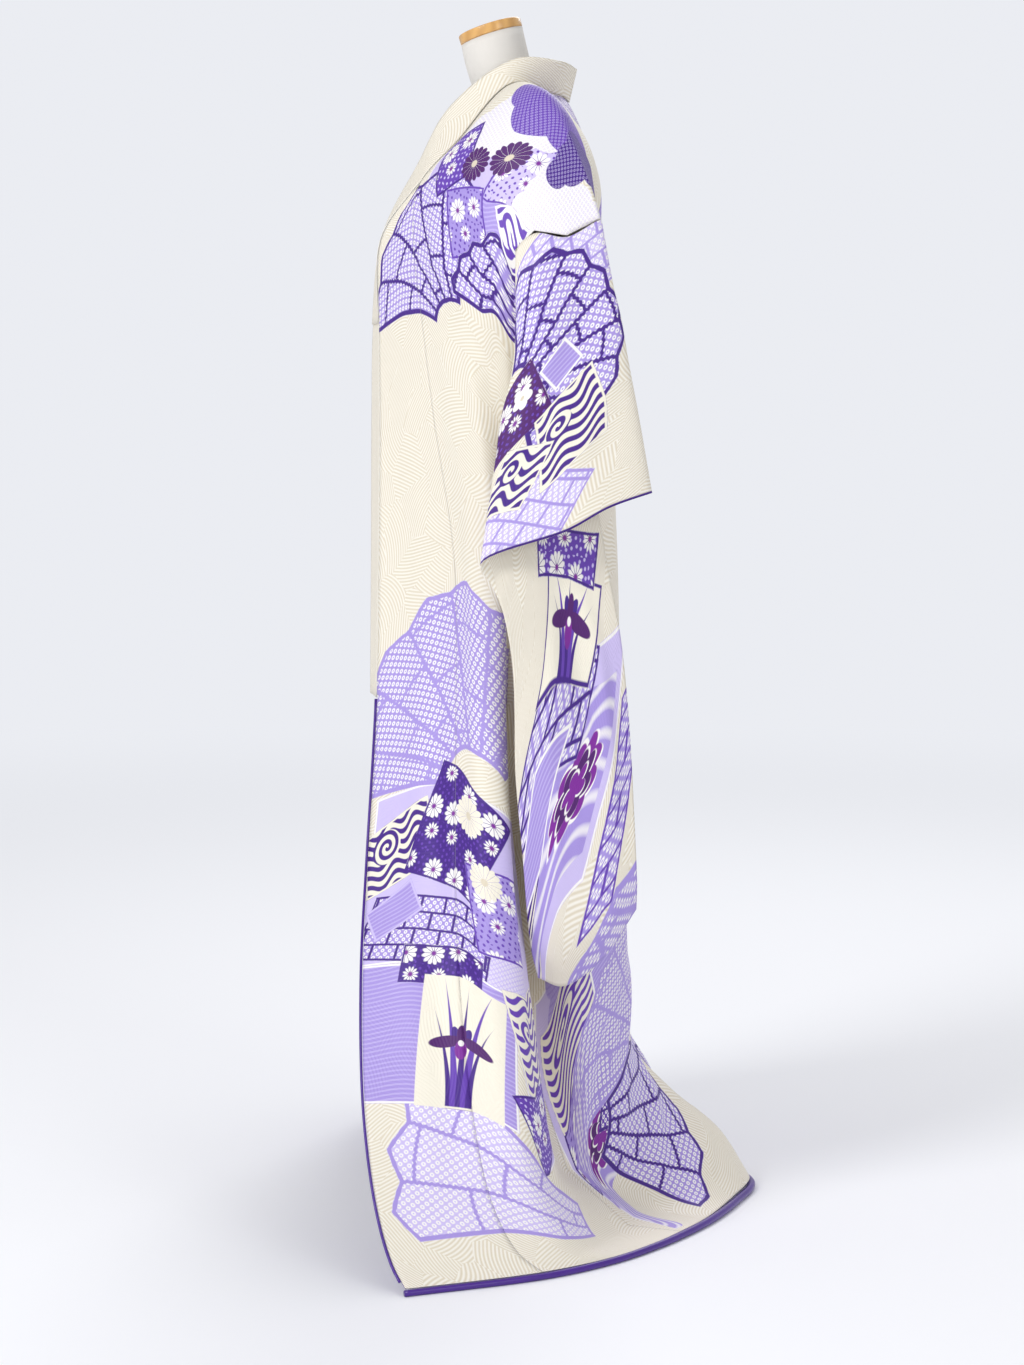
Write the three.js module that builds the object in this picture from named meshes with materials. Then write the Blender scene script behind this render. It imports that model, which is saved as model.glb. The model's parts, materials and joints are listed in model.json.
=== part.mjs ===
// Furisode with a trailing padded hem, hung on a limbless dress form on a stand.
// Millimetres, +Z up. The wearer faces -Y and the wearer's left is +X.
import * as THREE from 'three';

// ---- Cloth and seams -------------------------------------------------------
const BODY_WALL = 1.8; // lined silk of the body and gores
const SLEEVE_WALL = 1.5; // lined silk of the sleeves
const COLLAR_WALL = 2.0; // folded collar band
const OVER_COLLAR_WALL = 1.2;
const SEAM_GAP = 0.3; // two pieces meet this far apart
const SEAM_TRIM = 0.22; // each side's share of it, with room for the turn of the cloth
const HEM_ROLL = 5.0; // radius of the padded roll at the centre back
const HEM_ROLL_FRONT = 3.8; // and at the two front corners
const EDGE_ROLL = 1.7; // radius of the lining edge up the fronts
const COLLAR_TRIM = 0.95; // the collar stands back from its seam by this
const UNDERLAP = 15; // the right front lies this far behind the left

// ---- Dress form and stand --------------------------------------------------
const BASE_RADIUS = 150;
const BASE_HEIGHT = 12;
const POLE_RADIUS = 13;
const FORM_BOTTOM = 770;
const NECK_TOP = 1466;
const NECK_Y = -25;
const NECK_HALF = [43, 40]; // half widths of the neck's end, across and fore-aft
const CAP_HALF = [44, 40];
const CAP_HEIGHT = 12;
const CAP_LEAN = 0.3; // the neck's end leans forward, in radians

// ---- Left half of the body -------------------------------------------------
// One row per level from the hem upwards, [x, y, z] at each named grain line.
// edge: collar seam or free front edge; gore: seam of the front gore;
// face: middle of the front; lip: fold at the side; side: side seam.
const FRONT = [
  [[471, -122, 7], [404, 38, 7], [345, 118, 7], [285, 172, 7], [232, 210, 7]],
  [[452, -138, 32], [400, 6, 32], [366, 72, 26], [302, 108, 18], [224, 142, 13]],
  [[420, -156, 84], [384, -24, 88], [368, 26, 96], [325, 50, 96], [192, 68, 74]],
  [[350, -174, 183], [350, -46, 184], [352, 2, 187], [326, 33, 188], [158, 30, 184]],
  [[260, -181, 322], [290, -62, 322], [306, -20, 322], [292, 19, 322], [122, -6, 322]],
  [[150, -179, 450], [236, -68, 450], [262, -32, 450], [252, 4, 450], [112, -8, 450]],
  [[100, -169, 645], [184, -68, 645], [212, -40, 645], [214, -12, 645], [128, -6, 645]],
  [[66, -167, 816], [152, -70, 816], [186, -45, 816], [196, -18, 816], [172, 0, 816]],
  [[38, -166, 1000], [122, -97, 1000], [166, -60, 1000], [188, -25, 1000], [186, 8, 1000]],
  [[22, -167, 1110], [102, -110, 1105], [152, -74, 1102], [186, -34, 1100], [196, 6, 1100]],
  [[36, -163, 1212], [94, -121, 1205], [150, -84, 1200], [205, -36, 1196], [238, 4, 1190]],
  [[78, -121, 1270], [84, -115, 1273], [140, -78, 1278], [204, -25, 1262], [246, 26, 1212]],
  [[89.5, -66, 1331], [90, -65, 1330], [136, -42, 1346], [200, 0, 1326], [249, 64, 1206]],
];
// Over the shoulder, from the neck point out to the drop of the shoulder.
const RIDGE = [[40, -8, 1404], [72, -1, 1400], [132, 12, 1395], [190, 42, 1372], [240, 104, 1226]];
// The back at the same levels, from the neck down. centre: middle seam;
// flat: flat of the back; lobe: fold hanging at the back; side: side seam.
const BACK = [
  [[30, 47, 1393], [112, 66, 1366], [186, 88, 1316], [226, 102, 1208]],
  [[0, 70, 1384], [108, 100, 1302], [184, 102, 1262], [210, 72, 1202]],
  [[0, 104, 1262], [106, 110, 1215], [176, 96, 1200], [206, 24, 1187]],
  [[0, 111, 1120], [104, 114, 1102], [166, 92, 1100], [192, 14, 1100]],
  [[0, 115, 1000], [104, 116, 1000], [162, 86, 1000], [186, 8, 1000]],
  [[0, 124, 816], [104, 123, 816], [160, 84, 816], [172, 0, 816]],
  [[0, 130, 645], [104, 129, 645], [164, 84, 645], [128, -6, 645]],
  [[0, 133, 450], [104, 133, 450], [170, 84, 450], [112, -8, 450]],
  [[0, 137, 322], [105, 136, 322], [172, 84, 322], [122, -6, 322]],
  [[0, 152, 190], [106, 142, 186], [170, 90, 183], [158, 30, 184]],
  [[0, 206, 128], [104, 172, 100], [166, 106, 66], [192, 68, 74]],
  [[0, 268, 76], [92, 226, 56], [164, 160, 20], [224, 142, 13]],
  [[0, 310, 10], [86, 284, 8], [168, 248, 7], [232, 210, 7]],
];
const NAPE_ROW = 15; // body row at the nape, counted from the front hem
const SEAM_TOP = 10; // front rows from here up border the armhole, not the side seam
const GORE_TIP_ROW = 11; // front row where the gore runs out against the collar

// ---- Collar ----------------------------------------------------------------
// Free edge of the left collar at each body level from row 6 up to the neck
// point and round to the middle of the back. Its seam is the body's edge.
const COLLAR_FROM = 6;
const COLLAR_FREE = [
  [40, -179, 645],
  [0, -179, 816],
  [-30, -179, 1000],
  [-42, -177, 1110],
  [-20, -163, 1220],
  [30, -116, 1306],
  [52, -76, 1374],
  [63, 4, 1431],
  [38, 62, 1431],
  [0, 80, 1426],
];
const OVER_COLLAR_FROM = 6; // the over-collar starts at this collar row

// ---- Left sleeve -----------------------------------------------------------
// One row per distance round the sleeve from the back corner over the top
// fold to the front corner; a row runs from the armhole side to the cuff side.
const SLEEVE_BACK = [
  [[206, 148, 402], [210, 106, 345], [216, 60, 316], [232, 32, 326]],
  [[204, 146, 440], [208, 104, 385], [214, 52, 362], [234, 24, 366]],
  [[204, 142, 530], [208, 98, 492], [214, 48, 472], [236, 15, 470]],
  [[206, 134, 645], [210, 90, 605], [216, 44, 585], [237, 6, 575]],
  [[208, 126, 740], [213, 84, 695], [220, 42, 668], [238, 6, 650]],
  [[211, 114, 810], [216, 74, 760], [224, 38, 720], [239, 5, 700]],
  [[214, 96, 908], [220, 60, 836], [227, 28, 780], [240, 0, 738]],
  [[218, 72, 1028], [224, 38, 930], [232, 12, 850], [246, -9, 771]],
  [[223, 46, 1120], [227, 28, 1010], [234, 7, 901], [248, -19, 797]],
  [[213.5, 12, 1174], [213.5, 2, 1058], [217, -14, 941], [233, -36, 824]],
  [[206, 34, 1188], [204, 22, 1080], [206, 14, 960], [220, -6, 844]],
  [[211, 72, 1197], [201, 62, 1096], [196, 60, 985], [204, 74, 868]],
  [[227, 102, 1206.2], [216, 98, 1108], [214, 112, 1000], [222, 128, 892]],
];
const SLEEVE_FOLD = [[240.5, 104.5, 1224.2], [250, 124, 1122], [258, 146, 1012], [264, 165, 905]];
const SLEEVE_FRONT = [
  [[250, 64, 1204.3], [264, 78, 1105], [276, 96, 996], [286, 114, 888]],
  [[246, 26, 1208.6], [268, 34, 1098], [282, 42, 978], [294, 66, 862]],
  [[239, 4, 1185.5], [256, 2, 1064], [272, -20, 940], [286, -37, 822]],
  [[230, 42, 1124], [241, 22, 1014], [256, -2, 900], [274, -24, 797]],
  [[229, 74, 1026], [240, 36, 926], [257, 12, 842], [275, -12, 769]],
  [[228, 98, 906], [241, 60, 828], [262, 32, 766], [278, -4, 734]],
  [[228, 116, 806], [245, 78, 742], [268, 42, 700], [274, 1, 694]],
  [[228, 129, 736], [250, 92, 668], [268, 46, 655], [264, 3, 646]],
  [[230, 139, 642], [252, 100, 592], [258, 46, 580], [256, 4, 572]],
  [[232, 146, 528], [250, 104, 490], [254, 52, 470], [250, 13, 468]],
  [[230, 150, 440], [246, 108, 383], [250, 56, 360], [246, 22, 364]],
  [[212, 150, 401], [222, 108, 341], [230, 62, 310], [240, 31, 322]],
];

// ---- Torso of the form -----------------------------------------------------
// z, half width, front y, back y of each level.
const TORSO = [
  [770, 128, -84, 62],
  [776, 140, -94, 70],
  [860, 158, -108, 84],
  [950, 150, -108, 84],
  [1050, 122, -98, 72],
  [1130, 138, -118, 80],
  [1190, 148, -127, 86],
  [1250, 160, -106, 90],
  [1310, 170, -70, 80],
  [1352, 162, -32, 66],
  [1378, 134, -16, 54],
  [1388, 92, -16, 44],
  [1399, 58, -48, 36],
  [1430, 48, -59, 24],
];

const mix = (a, b, t) => a + (b - a) * t;
const ramp = (t) => Math.min(1, Math.max(0, t));
const ease = (t) => ramp(t) ** 2 * (3 - 2 * ramp(t));
const vec = (p) => new THREE.Vector3(...p);

// A point on the smooth curve through a list of points, at a place in rows.
function curveAt(points, place, straight = false) {
  const i = Math.min(points.length - 2, Math.floor(place));
  const t = place - i;
  const [b, c] = [points[i], points[i + 1]];
  if (straight) return b.clone().lerp(c, t);
  const a = points[i - 1] ?? b.clone().multiplyScalar(2).sub(c);
  const d = points[i + 2] ?? c.clone().multiplyScalar(2).sub(b);
  const span = Math.sqrt(b.distanceTo(c));
  // Slope at q between p and r, weighted by the roots of the two distances.
  const pull = (p, q, r) => {
    const [u, w] = [Math.sqrt(p.distanceTo(q)), Math.sqrt(q.distanceTo(r))];
    return q.clone().sub(p).multiplyScalar(1 / u).addScaledVector(r.clone().sub(p), -1 / (u + w))
      .addScaledVector(r.clone().sub(q), 1 / w).multiplyScalar(span);
  };
  const [m0, m1] = [pull(a, b, c), pull(b, c, d)];
  const out = b.clone().multiplyScalar(2 * t ** 3 - 3 * t ** 2 + 1);
  out.addScaledVector(m0, t ** 3 - 2 * t ** 2 + t);
  out.addScaledVector(c, 3 * t ** 2 - 2 * t ** 3);
  return out.addScaledVector(m1, t ** 3 - t ** 2);
}

// Fine grid over a window of a table of points, with the outward normals.
function gridOf(table, { rows, cols, rowSteps, colSteps, straightCol = -1 }) {
  const nRow = (rows[1] - rows[0]) * rowSteps;
  const nCol = (cols[1] - cols[0]) * colSteps;
  const last = [table.length - 1, table[0].length - 1];
  const at = (r, c) => {
    const row = table[0].map((_, j) => curveAt(table.map((p) => p[j]), ramp(r / last[0]) * last[0],
      j === straightCol));
    return curveAt(row, ramp(c / last[1]) * last[1]);
  };
  const grid = [];
  for (let i = 0; i <= nRow; i += 1) {
    const line = [];
    for (let j = 0; j <= nCol; j += 1) {
      const [r, c] = [rows[0] + i / rowSteps, cols[0] + j / colSteps];
      const along = at(r + 0.05, c).sub(at(r - 0.05, c));
      const across = at(r, c + 0.05).sub(at(r, c - 0.05));
      line.push({ p: at(r, c), n: across.cross(along).normalize() });
    }
    grid.push(line);
  }
  return grid;
}

// Moves a border of the grid inwards, square to the border.
function inwards(v, next, before, after) {
  const along = after.p.clone().sub(before.p).normalize();
  const way = next.p.clone().sub(v.p);
  return way.addScaledVector(along, -way.dot(along)).normalize();
}

function trimLine(line, next, amountAt) {
  const ways = line.map((v, j) => inwards(v, next[j], line[Math.max(0, j - 1)],
    line[Math.min(line.length - 1, j + 1)]));
  line.forEach((v, j) => v.p.addScaledVector(ways[j], amountAt(j)));
}

function trimRow(grid, side, amount) {
  const [edge, next] = side === 'first' ? [0, 1] : [grid.length - 1, grid.length - 2];
  trimLine(grid[edge], grid[next], () => amount);
}

function trimCol(grid, side, amountAt) {
  const end = grid[0].length - 1;
  const [edge, next] = side === 'first' ? [0, 1] : [end, end - 1];
  trimLine(grid.map((line) => line[edge]), grid.map((line) => line[next]), amountAt);
}

// Closed sheet of cloth: the grid outside, the same grid set in by the wall.
function sheet(grid, wall, { lift = 0, turned = false } = {}) {
  const [nr, nc] = [grid.length, grid[0].length];
  const pos = [];
  const index = [];
  [lift, lift - wall].forEach((shift) => grid.forEach((line) => line.forEach(({ p, n }) => {
    pos.push(...p.clone().addScaledVector(n, shift).toArray());
  })));
  const id = (layer, i, j) => layer * nr * nc + i * nc + j;
  const quad = (a, b, c, d) => index.push(...(turned ? [a, b, d, b, c, d] : [a, b, c, a, c, d]));
  for (let i = 0; i < nr - 1; i += 1) {
    for (let j = 0; j < nc - 1; j += 1) {
      quad(id(0, i, j), id(0, i, j + 1), id(0, i + 1, j + 1), id(0, i + 1, j));
      quad(id(1, i, j), id(1, i + 1, j), id(1, i + 1, j + 1), id(1, i, j + 1));
    }
    quad(id(0, i, 0), id(0, i + 1, 0), id(1, i + 1, 0), id(1, i, 0));
    quad(id(0, i, nc - 1), id(1, i, nc - 1), id(1, i + 1, nc - 1), id(0, i + 1, nc - 1));
  }
  for (let j = 0; j < nc - 1; j += 1) {
    quad(id(0, 0, j), id(1, 0, j), id(1, 0, j + 1), id(0, 0, j + 1));
    quad(id(0, nr - 1, j), id(0, nr - 1, j + 1), id(1, nr - 1, j + 1), id(1, nr - 1, j));
  }
  return solid(pos, index);
}

function solid(pos, index) {
  const geometry = new THREE.BufferGeometry();
  geometry.setAttribute('position', new THREE.Float32BufferAttribute(pos, 3));
  geometry.setIndex(index);
  geometry.computeVertexNormals();
  return geometry;
}

// Closed solid through rings of points, with flat ends.
function loft(rings) {
  const n = rings[0].length;
  const pos = rings.flat().flatMap((p) => p.toArray());
  const index = [];
  for (let i = 0; i < rings.length - 1; i += 1) {
    for (let j = 0; j < n; j += 1) {
      const k = (j + 1) % n;
      index.push(i * n + j, i * n + k, (i + 1) * n + k, i * n + j, (i + 1) * n + k, (i + 1) * n + j);
    }
  }
  [0, rings.length - 1].forEach((i) => {
    const middle = rings[i].reduce((sum, p) => sum.add(p), vec([0, 0, 0])).divideScalar(n);
    const centre = pos.length / 3;
    pos.push(...middle.toArray());
    for (let j = 0; j < n; j += 1) {
      const [a, b] = [i * n + j, i * n + ((j + 1) % n)];
      index.push(centre, ...(i === 0 ? [b, a] : [a, b]));
    }
  });
  return solid(pos, index);
}

// Round cord along a curve, with a radius at each step.
function cord(path, radiusAt, sides = 8) {
  const rings = path.map((p, i) => {
    const dir = path[Math.min(i + 1, path.length - 1)].clone().sub(path[Math.max(i - 1, 0)]);
    const across = dir.clone().cross(vec([0, 0, 1])).normalize();
    const up = dir.clone().cross(across).normalize();
    const radius = radiusAt(i / (path.length - 1));
    return Array.from({ length: sides }, (_, j) => {
      const a = (2 * Math.PI * j) / sides;
      return p.clone().addScaledVector(across, radius * Math.cos(a))
        .addScaledVector(up, radius * Math.sin(a));
    });
  });
  return loft(rings);
}

// The right side mirrors the left; near the middle it passes behind it.
function toRight([x, y, z]) {
  const near = ease((160 - x) / 110) * ease((1296 - z) / 60) * ease((z - 600) / 110);
  return [-x, y + (y < -60 ? (UNDERLAP + 0.5 * Math.max(0, -x)) * near : 0), z];
}

const left = (p) => p;
const mirrorX = ([x, y, z]) => [-x, y, z];
const flip = (table) => table.map((row) => [...row].reverse());

const below = ([x, y, z], out) => [x + out, y, z - 90];

// Body panel table: front hem, over the shoulder, back hem. Each row starts
// and ends with the neighbouring line, so that the seams run on smoothly.
function bodyTable(place) {
  const front = FRONT.map((row, i) => [...row, i < SEAM_TOP ? BACK[12 - i][2] : below(row[4], 10)]);
  const sideSeam = (row, i) => (12 - i < SEAM_TOP ? FRONT[12 - i][3] : below(row[3], -8));
  const back = BACK.map((row, i) => [mirrorX(row[1]), ...row, sideSeam(row, i)]);
  const ridge = [...RIDGE, below(RIDGE[4], 14)];
  return [...front, ridge, ...back].map((row) => row.map((p) => vec(place(p))));
}

const paint = (name, colour, roughness) =>
  new THREE.MeshStandardMaterial({ name, color: colour, roughness });
const group = new THREE.Group();
group.name = 'furisode_on_form';

function add(name, geometry, material) {
  const mesh = new THREE.Mesh(geometry, material);
  mesh.name = name;
  group.add(mesh);
}

// ---- Body panels and front gores -------------------------------------------
const BODY_STEPS = { rowSteps: 2, colSteps: 4 };
const hemPull = HEM_ROLL - 0.4;
const seamTrim = () => SEAM_TRIM;
const edgeTrim = (i) => (i <= COLLAR_FROM * BODY_STEPS.rowSteps ? EDGE_ROLL + 0.5 : COLLAR_TRIM);
const bodies = { left: bodyTable(left), right: bodyTable(toRight) };
Object.entries(bodies).forEach(([side, whole]) => {
  const mirrored = side === 'right';
  const table = mirrored ? flip(whole) : whole;
  const width = whole[0].length - 1;
  const span = (a, b) => (mirrored ? [width - b, width - a] : [a, b]);
  const [inner, outer] = mirrored ? ['last', 'first'] : ['first', 'last'];
  const straightCol = mirrored ? width - 4 : 4;
  const rows = [0, whole.length - 1];
  const panel = gridOf(table, { ...BODY_STEPS, rows, cols: span(1, 4), straightCol });
  trimRow(panel, 'first', hemPull);
  trimRow(panel, 'last', hemPull);
  panel.slice(NAPE_ROW * BODY_STEPS.rowSteps).forEach((line) => {
    const v = line[mirrored ? line.length - 1 : 0];
    v.p.setX(0); // the middle seam of the back is plumb
    v.n.setX(0).normalize();
  });
  trimCol(panel, inner, (i) => (i > 22 && i < 31 ? COLLAR_TRIM : SEAM_TRIM));
  trimCol(panel, outer, seamTrim);
  const panelSheet = sheet(panel, BODY_WALL, { turned: mirrored });
  add(`body_${side}`, panelSheet, paint(`silk_body_${side}`, 0xefe9da, 0.45));

  const gore = gridOf(table, { ...BODY_STEPS, rows: [0, GORE_TIP_ROW], cols: span(0, 1), straightCol });
  gore.slice(-2).forEach((line) => line.forEach((v) => v.n.copy(gore.at(-3)[2].n)));
  trimCol(gore, outer, (i) => (i > 20 ? 0.5 : SEAM_TRIM));
  trimCol(gore, inner, edgeTrim);
  trimRow(gore, 'first', hemPull - 2.5);
  const goreSheet = sheet(gore, BODY_WALL, { turned: mirrored });
  add(`gore_${side}`, goreSheet, paint(`silk_gore_${side}`, 0xefe9da, 0.45));

  const edgePath = gridOf(table, { rows: [0, COLLAR_FROM], cols: span(0, 1), rowSteps: 4, colSteps: 1 })
    .map((line) => (mirrored ? line[1] : line[0]).p).filter((p) => p.z > 2 * HEM_ROLL + 4);
  const edgeCord = cord(edgePath, () => EDGE_ROLL, 6);
  add(`edge_lining_${side}`, edgeCord, paint(`lining_edge_${side}`, 0x4a1d8f, 0.4));
});

// ---- Collar and over-collar ------------------------------------------------
// The seam follows the body's own edge, so both turn at the same points.
function collarRows(place, whole) {
  const free = COLLAR_FREE.map((p) => vec(place(p)));
  const steps = (free.length - 1) * BODY_STEPS.rowSteps;
  return Array.from({ length: steps + 1 }, (_, i) => {
    const k = i / BODY_STEPS.rowSteps;
    const column = COLLAR_FROM + k > GORE_TIP_ROW ? 1 : 0;
    const seam = curveAt(whole.map((row) => row[column]), COLLAR_FROM + k);
    return [curveAt(free, k), seam];
  });
}
const collarLeft = collarRows(left, bodies.left);
const collarRight = collarRows(toRight, bodies.right);
const collarTable = [...collarLeft, ...collarRight.reverse().slice(1)];
const collarEnd = collarTable.length - 1;
function collarGrid(from, to) {
  const grid = gridOf(collarTable, { rows: [from, to], cols: [0, 1], rowSteps: 1, colSteps: 3 });
  trimCol(grid, 'last', () => COLLAR_TRIM);
  return grid;
}
const collar = collarGrid(0, collarEnd);
trimRow(collar, 'first', EDGE_ROLL + 1);
trimRow(collar, 'last', EDGE_ROLL + 1);
add('collar', sheet(collar, COLLAR_WALL), paint('silk_collar', 0xf1ecdd, 0.45));
add('over_collar', sheet(collarGrid(OVER_COLLAR_FROM, collarEnd - OVER_COLLAR_FROM), OVER_COLLAR_WALL,
  { lift: OVER_COLLAR_WALL + SEAM_GAP + 0.1 }), paint('silk_over_collar', 0xf1ecdd, 0.45));

// ---- Sleeves ---------------------------------------------------------------
const sleeveRows = [...SLEEVE_BACK, SLEEVE_FOLD, ...SLEEVE_FRONT];
[['left', left], ['right', mirrorX]].forEach(([side, place]) => {
  const rows = sleeveRows.map((row) => row.map((p) => vec(place(p))));
  const table = side === 'left' ? flip(rows) : rows;
  const grid = gridOf(table, { rows: [0, rows.length - 1], cols: [0, 3], rowSteps: 2, colSteps: 3 });
  trimCol(grid, side === 'left' ? 'last' : 'first', () => SEAM_GAP);
  const sleeveSheet = sheet(grid, SLEEVE_WALL, { turned: side === 'left' });
  add(`sleeve_${side}`, sleeveSheet, paint(`silk_sleeve_${side}`, 0xe9e4ee, 0.45));
});

// ---- Padded hem roll -------------------------------------------------------
const hemLine = (whole) => [...whole[0].slice(0, 5), ...whole[whole.length - 1].slice(1, 4).reverse()];
const hemPoints = [...hemLine(bodies.left), ...hemLine(bodies.right).reverse().slice(1)];
const HEM_STEPS = 6 * (hemPoints.length - 1);
const hemRadius = (t) => mix(HEM_ROLL, HEM_ROLL_FRONT, Math.abs(2 * t - 1));
const hemPath = Array.from({ length: HEM_STEPS + 1 }, (_, i) => {
  const p = curveAt(hemPoints, i / 6);
  return vec([p.x, p.y, hemRadius(i / HEM_STEPS)]);
});
add('hem_roll', cord(hemPath, hemRadius), paint('hem_roll_satin', 0x4a1d8f, 0.35));

// ---- Dress form and stand --------------------------------------------------
const FORM_SIDES = 32;
const oval = (halfX, halfY, y, z, lean = 0) => Array.from({ length: FORM_SIDES }, (_, j) => {
  const a = (2 * Math.PI * j) / FORM_SIDES;
  const fore = halfY * Math.sin(a);
  return vec([halfX * Math.cos(a), y + fore * Math.cos(lean), z + fore * Math.sin(lean)]);
});
const torsoRings = TORSO.map(([z, halfX, front, back]) =>
  oval(halfX, (back - front) / 2, (front + back) / 2, z),
);
const neckEnd = (half, lift) => oval(...half, NECK_Y - lift * Math.sin(CAP_LEAN),
  NECK_TOP + lift * Math.cos(CAP_LEAN), CAP_LEAN);
add('form_torso', loft([...torsoRings, neckEnd(NECK_HALF, 0)]), paint('form_linen', 0xe6e3dc, 0.9));
const CAP_EDGE = 1.5;
const capRim = CAP_HALF.map((half) => half - CAP_EDGE);
add('form_cap', loft([
  neckEnd(CAP_HALF, SEAM_GAP),
  neckEnd(CAP_HALF, CAP_HEIGHT - CAP_EDGE),
  neckEnd(capRim, CAP_HEIGHT),
]), paint('form_cap_wood', 0xd9a45b, 0.5));
add('stand_pole', loft([
  oval(POLE_RADIUS, POLE_RADIUS, 0, BASE_HEIGHT + SEAM_GAP),
  oval(POLE_RADIUS, POLE_RADIUS, 0, FORM_BOTTOM - SEAM_GAP),
]), paint('stand_metal', 0xb8b8ba, 0.4));
add('stand_base', loft([
  oval(BASE_RADIUS, BASE_RADIUS, 0, 0),
  oval(BASE_RADIUS, BASE_RADIUS, 0, BASE_HEIGHT - 3),
  oval(BASE_RADIUS - 3, BASE_RADIUS - 3, 0, BASE_HEIGHT),
]), paint('stand_base_metal', 0xb8b8ba, 0.4));

export default group;
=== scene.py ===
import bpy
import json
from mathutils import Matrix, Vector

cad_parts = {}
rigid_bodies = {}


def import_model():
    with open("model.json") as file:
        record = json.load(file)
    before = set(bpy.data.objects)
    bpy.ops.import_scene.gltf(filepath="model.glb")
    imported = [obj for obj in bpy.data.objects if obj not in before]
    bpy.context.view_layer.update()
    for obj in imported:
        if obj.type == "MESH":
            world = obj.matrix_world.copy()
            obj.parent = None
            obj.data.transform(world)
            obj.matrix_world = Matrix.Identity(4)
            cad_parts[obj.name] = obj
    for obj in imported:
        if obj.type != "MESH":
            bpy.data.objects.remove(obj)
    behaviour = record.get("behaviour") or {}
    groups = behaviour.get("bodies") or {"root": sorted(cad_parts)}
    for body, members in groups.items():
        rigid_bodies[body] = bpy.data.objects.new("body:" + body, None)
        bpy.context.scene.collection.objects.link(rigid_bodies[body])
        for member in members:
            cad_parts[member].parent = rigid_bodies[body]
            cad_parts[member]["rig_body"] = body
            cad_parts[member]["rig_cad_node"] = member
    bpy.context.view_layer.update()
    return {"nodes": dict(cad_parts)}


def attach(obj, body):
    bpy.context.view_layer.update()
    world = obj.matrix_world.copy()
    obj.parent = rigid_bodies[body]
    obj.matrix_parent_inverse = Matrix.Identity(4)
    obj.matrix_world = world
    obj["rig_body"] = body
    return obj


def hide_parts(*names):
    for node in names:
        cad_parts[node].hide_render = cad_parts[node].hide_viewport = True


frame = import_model()

import json
import math

import bpy
import numpy as np

for thing in bpy.context.selected_objects:
    thing.select_set(False)


# ---- Studio ----------------------------------------------------------------
# A pale floor that runs out to a pale wall, a large soft light over the
# garment's front, a weaker one behind it, and the camera square to its left side.
FLOOR_RADIUS = 120.0
FLOOR_ENDS, WALL_STARTS = 0.8, 5.5
WALL_COLOUR, WALL_STRENGTH = (0.83, 0.845, 0.89, 1), 1.0
AIR_COLOUR, AIR_STRENGTH = (0.90, 0.91, 0.95, 1), 0.6
PAPER_COLOUR, PAPER_ROUGHNESS = (0.93, 0.935, 0.955, 1), 0.9

bpy.ops.mesh.primitive_circle_add(vertices=96, radius=FLOOR_RADIUS, fill_type="NGON")
floor = bpy.context.object
floor.name = "studio_floor"


def new_material(name):
    """A node material, with its tree and its shader."""
    made = bpy.data.materials.new(name)
    made.use_nodes = True
    return made, made.node_tree, made.node_tree.nodes["Principled BSDF"]


# The air lights the garment softly and is seen as the pale wall.
sky = bpy.data.worlds.new("studio_air")
sky.use_nodes = True
sky_nodes, sky_links = sky.node_tree.nodes, sky.node_tree.links
air = sky_nodes["Background"]
wall = sky_nodes.new("ShaderNodeBackground")
for glow, colour, strength in ((air, AIR_COLOUR, AIR_STRENGTH), (wall, WALL_COLOUR, WALL_STRENGTH)):
    glow.inputs["Color"].default_value = colour
    glow.inputs["Strength"].default_value = strength
seen = sky_nodes.new("ShaderNodeLightPath")
choice = sky_nodes.new("ShaderNodeMixShader")
sky_links.new(seen.outputs["Is Camera Ray"], choice.inputs["Fac"])
sky_links.new(air.outputs[0], choice.inputs[1])
sky_links.new(wall.outputs[0], choice.inputs[2])
sky_links.new(choice.outputs[0], sky_nodes["World Output"].inputs["Surface"])
bpy.context.scene.world = sky

# The floor's paper melts into the wall's light further off.
paper, paper_tree, paper_shader = new_material("studio_paper")
paper_shader.inputs["Base Color"].default_value = PAPER_COLOUR
paper_shader.inputs["Roughness"].default_value = PAPER_ROUGHNESS
paper_place, paper_reach, paper_fade, paper_seen, paper_share, paper_wall, paper_mix = [
    paper_tree.nodes.new("ShaderNode" + kind)
    for kind in ("TexCoord", "VectorMath", "MapRange", "LightPath", "Math", "Emission", "MixShader")]
paper_reach.operation = "LENGTH"
paper_fade.interpolation_type = "SMOOTHSTEP"
paper_fade.inputs["From Min"].default_value = FLOOR_ENDS
paper_fade.inputs["From Max"].default_value = WALL_STARTS
paper_share.operation = "MULTIPLY"
paper_wall.inputs["Color"].default_value = WALL_COLOUR
paper_wall.inputs["Strength"].default_value = WALL_STRENGTH
for out, into in ((paper_place.outputs["Object"], paper_reach.inputs[0]),
                  (paper_reach.outputs["Value"], paper_fade.inputs["Value"]),
                  (paper_fade.outputs["Result"], paper_share.inputs[0]),
                  (paper_seen.outputs["Is Camera Ray"], paper_share.inputs[1]),
                  (paper_share.outputs[0], paper_mix.inputs["Fac"]),
                  (paper_shader.outputs["BSDF"], paper_mix.inputs[1]),
                  (paper_wall.outputs["Emission"], paper_mix.inputs[2]),
                  (paper_mix.outputs["Shader"], paper_tree.nodes["Material Output"].inputs["Surface"])):
    paper_tree.links.new(out, into)
floor.data.materials.append(paper)


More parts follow.
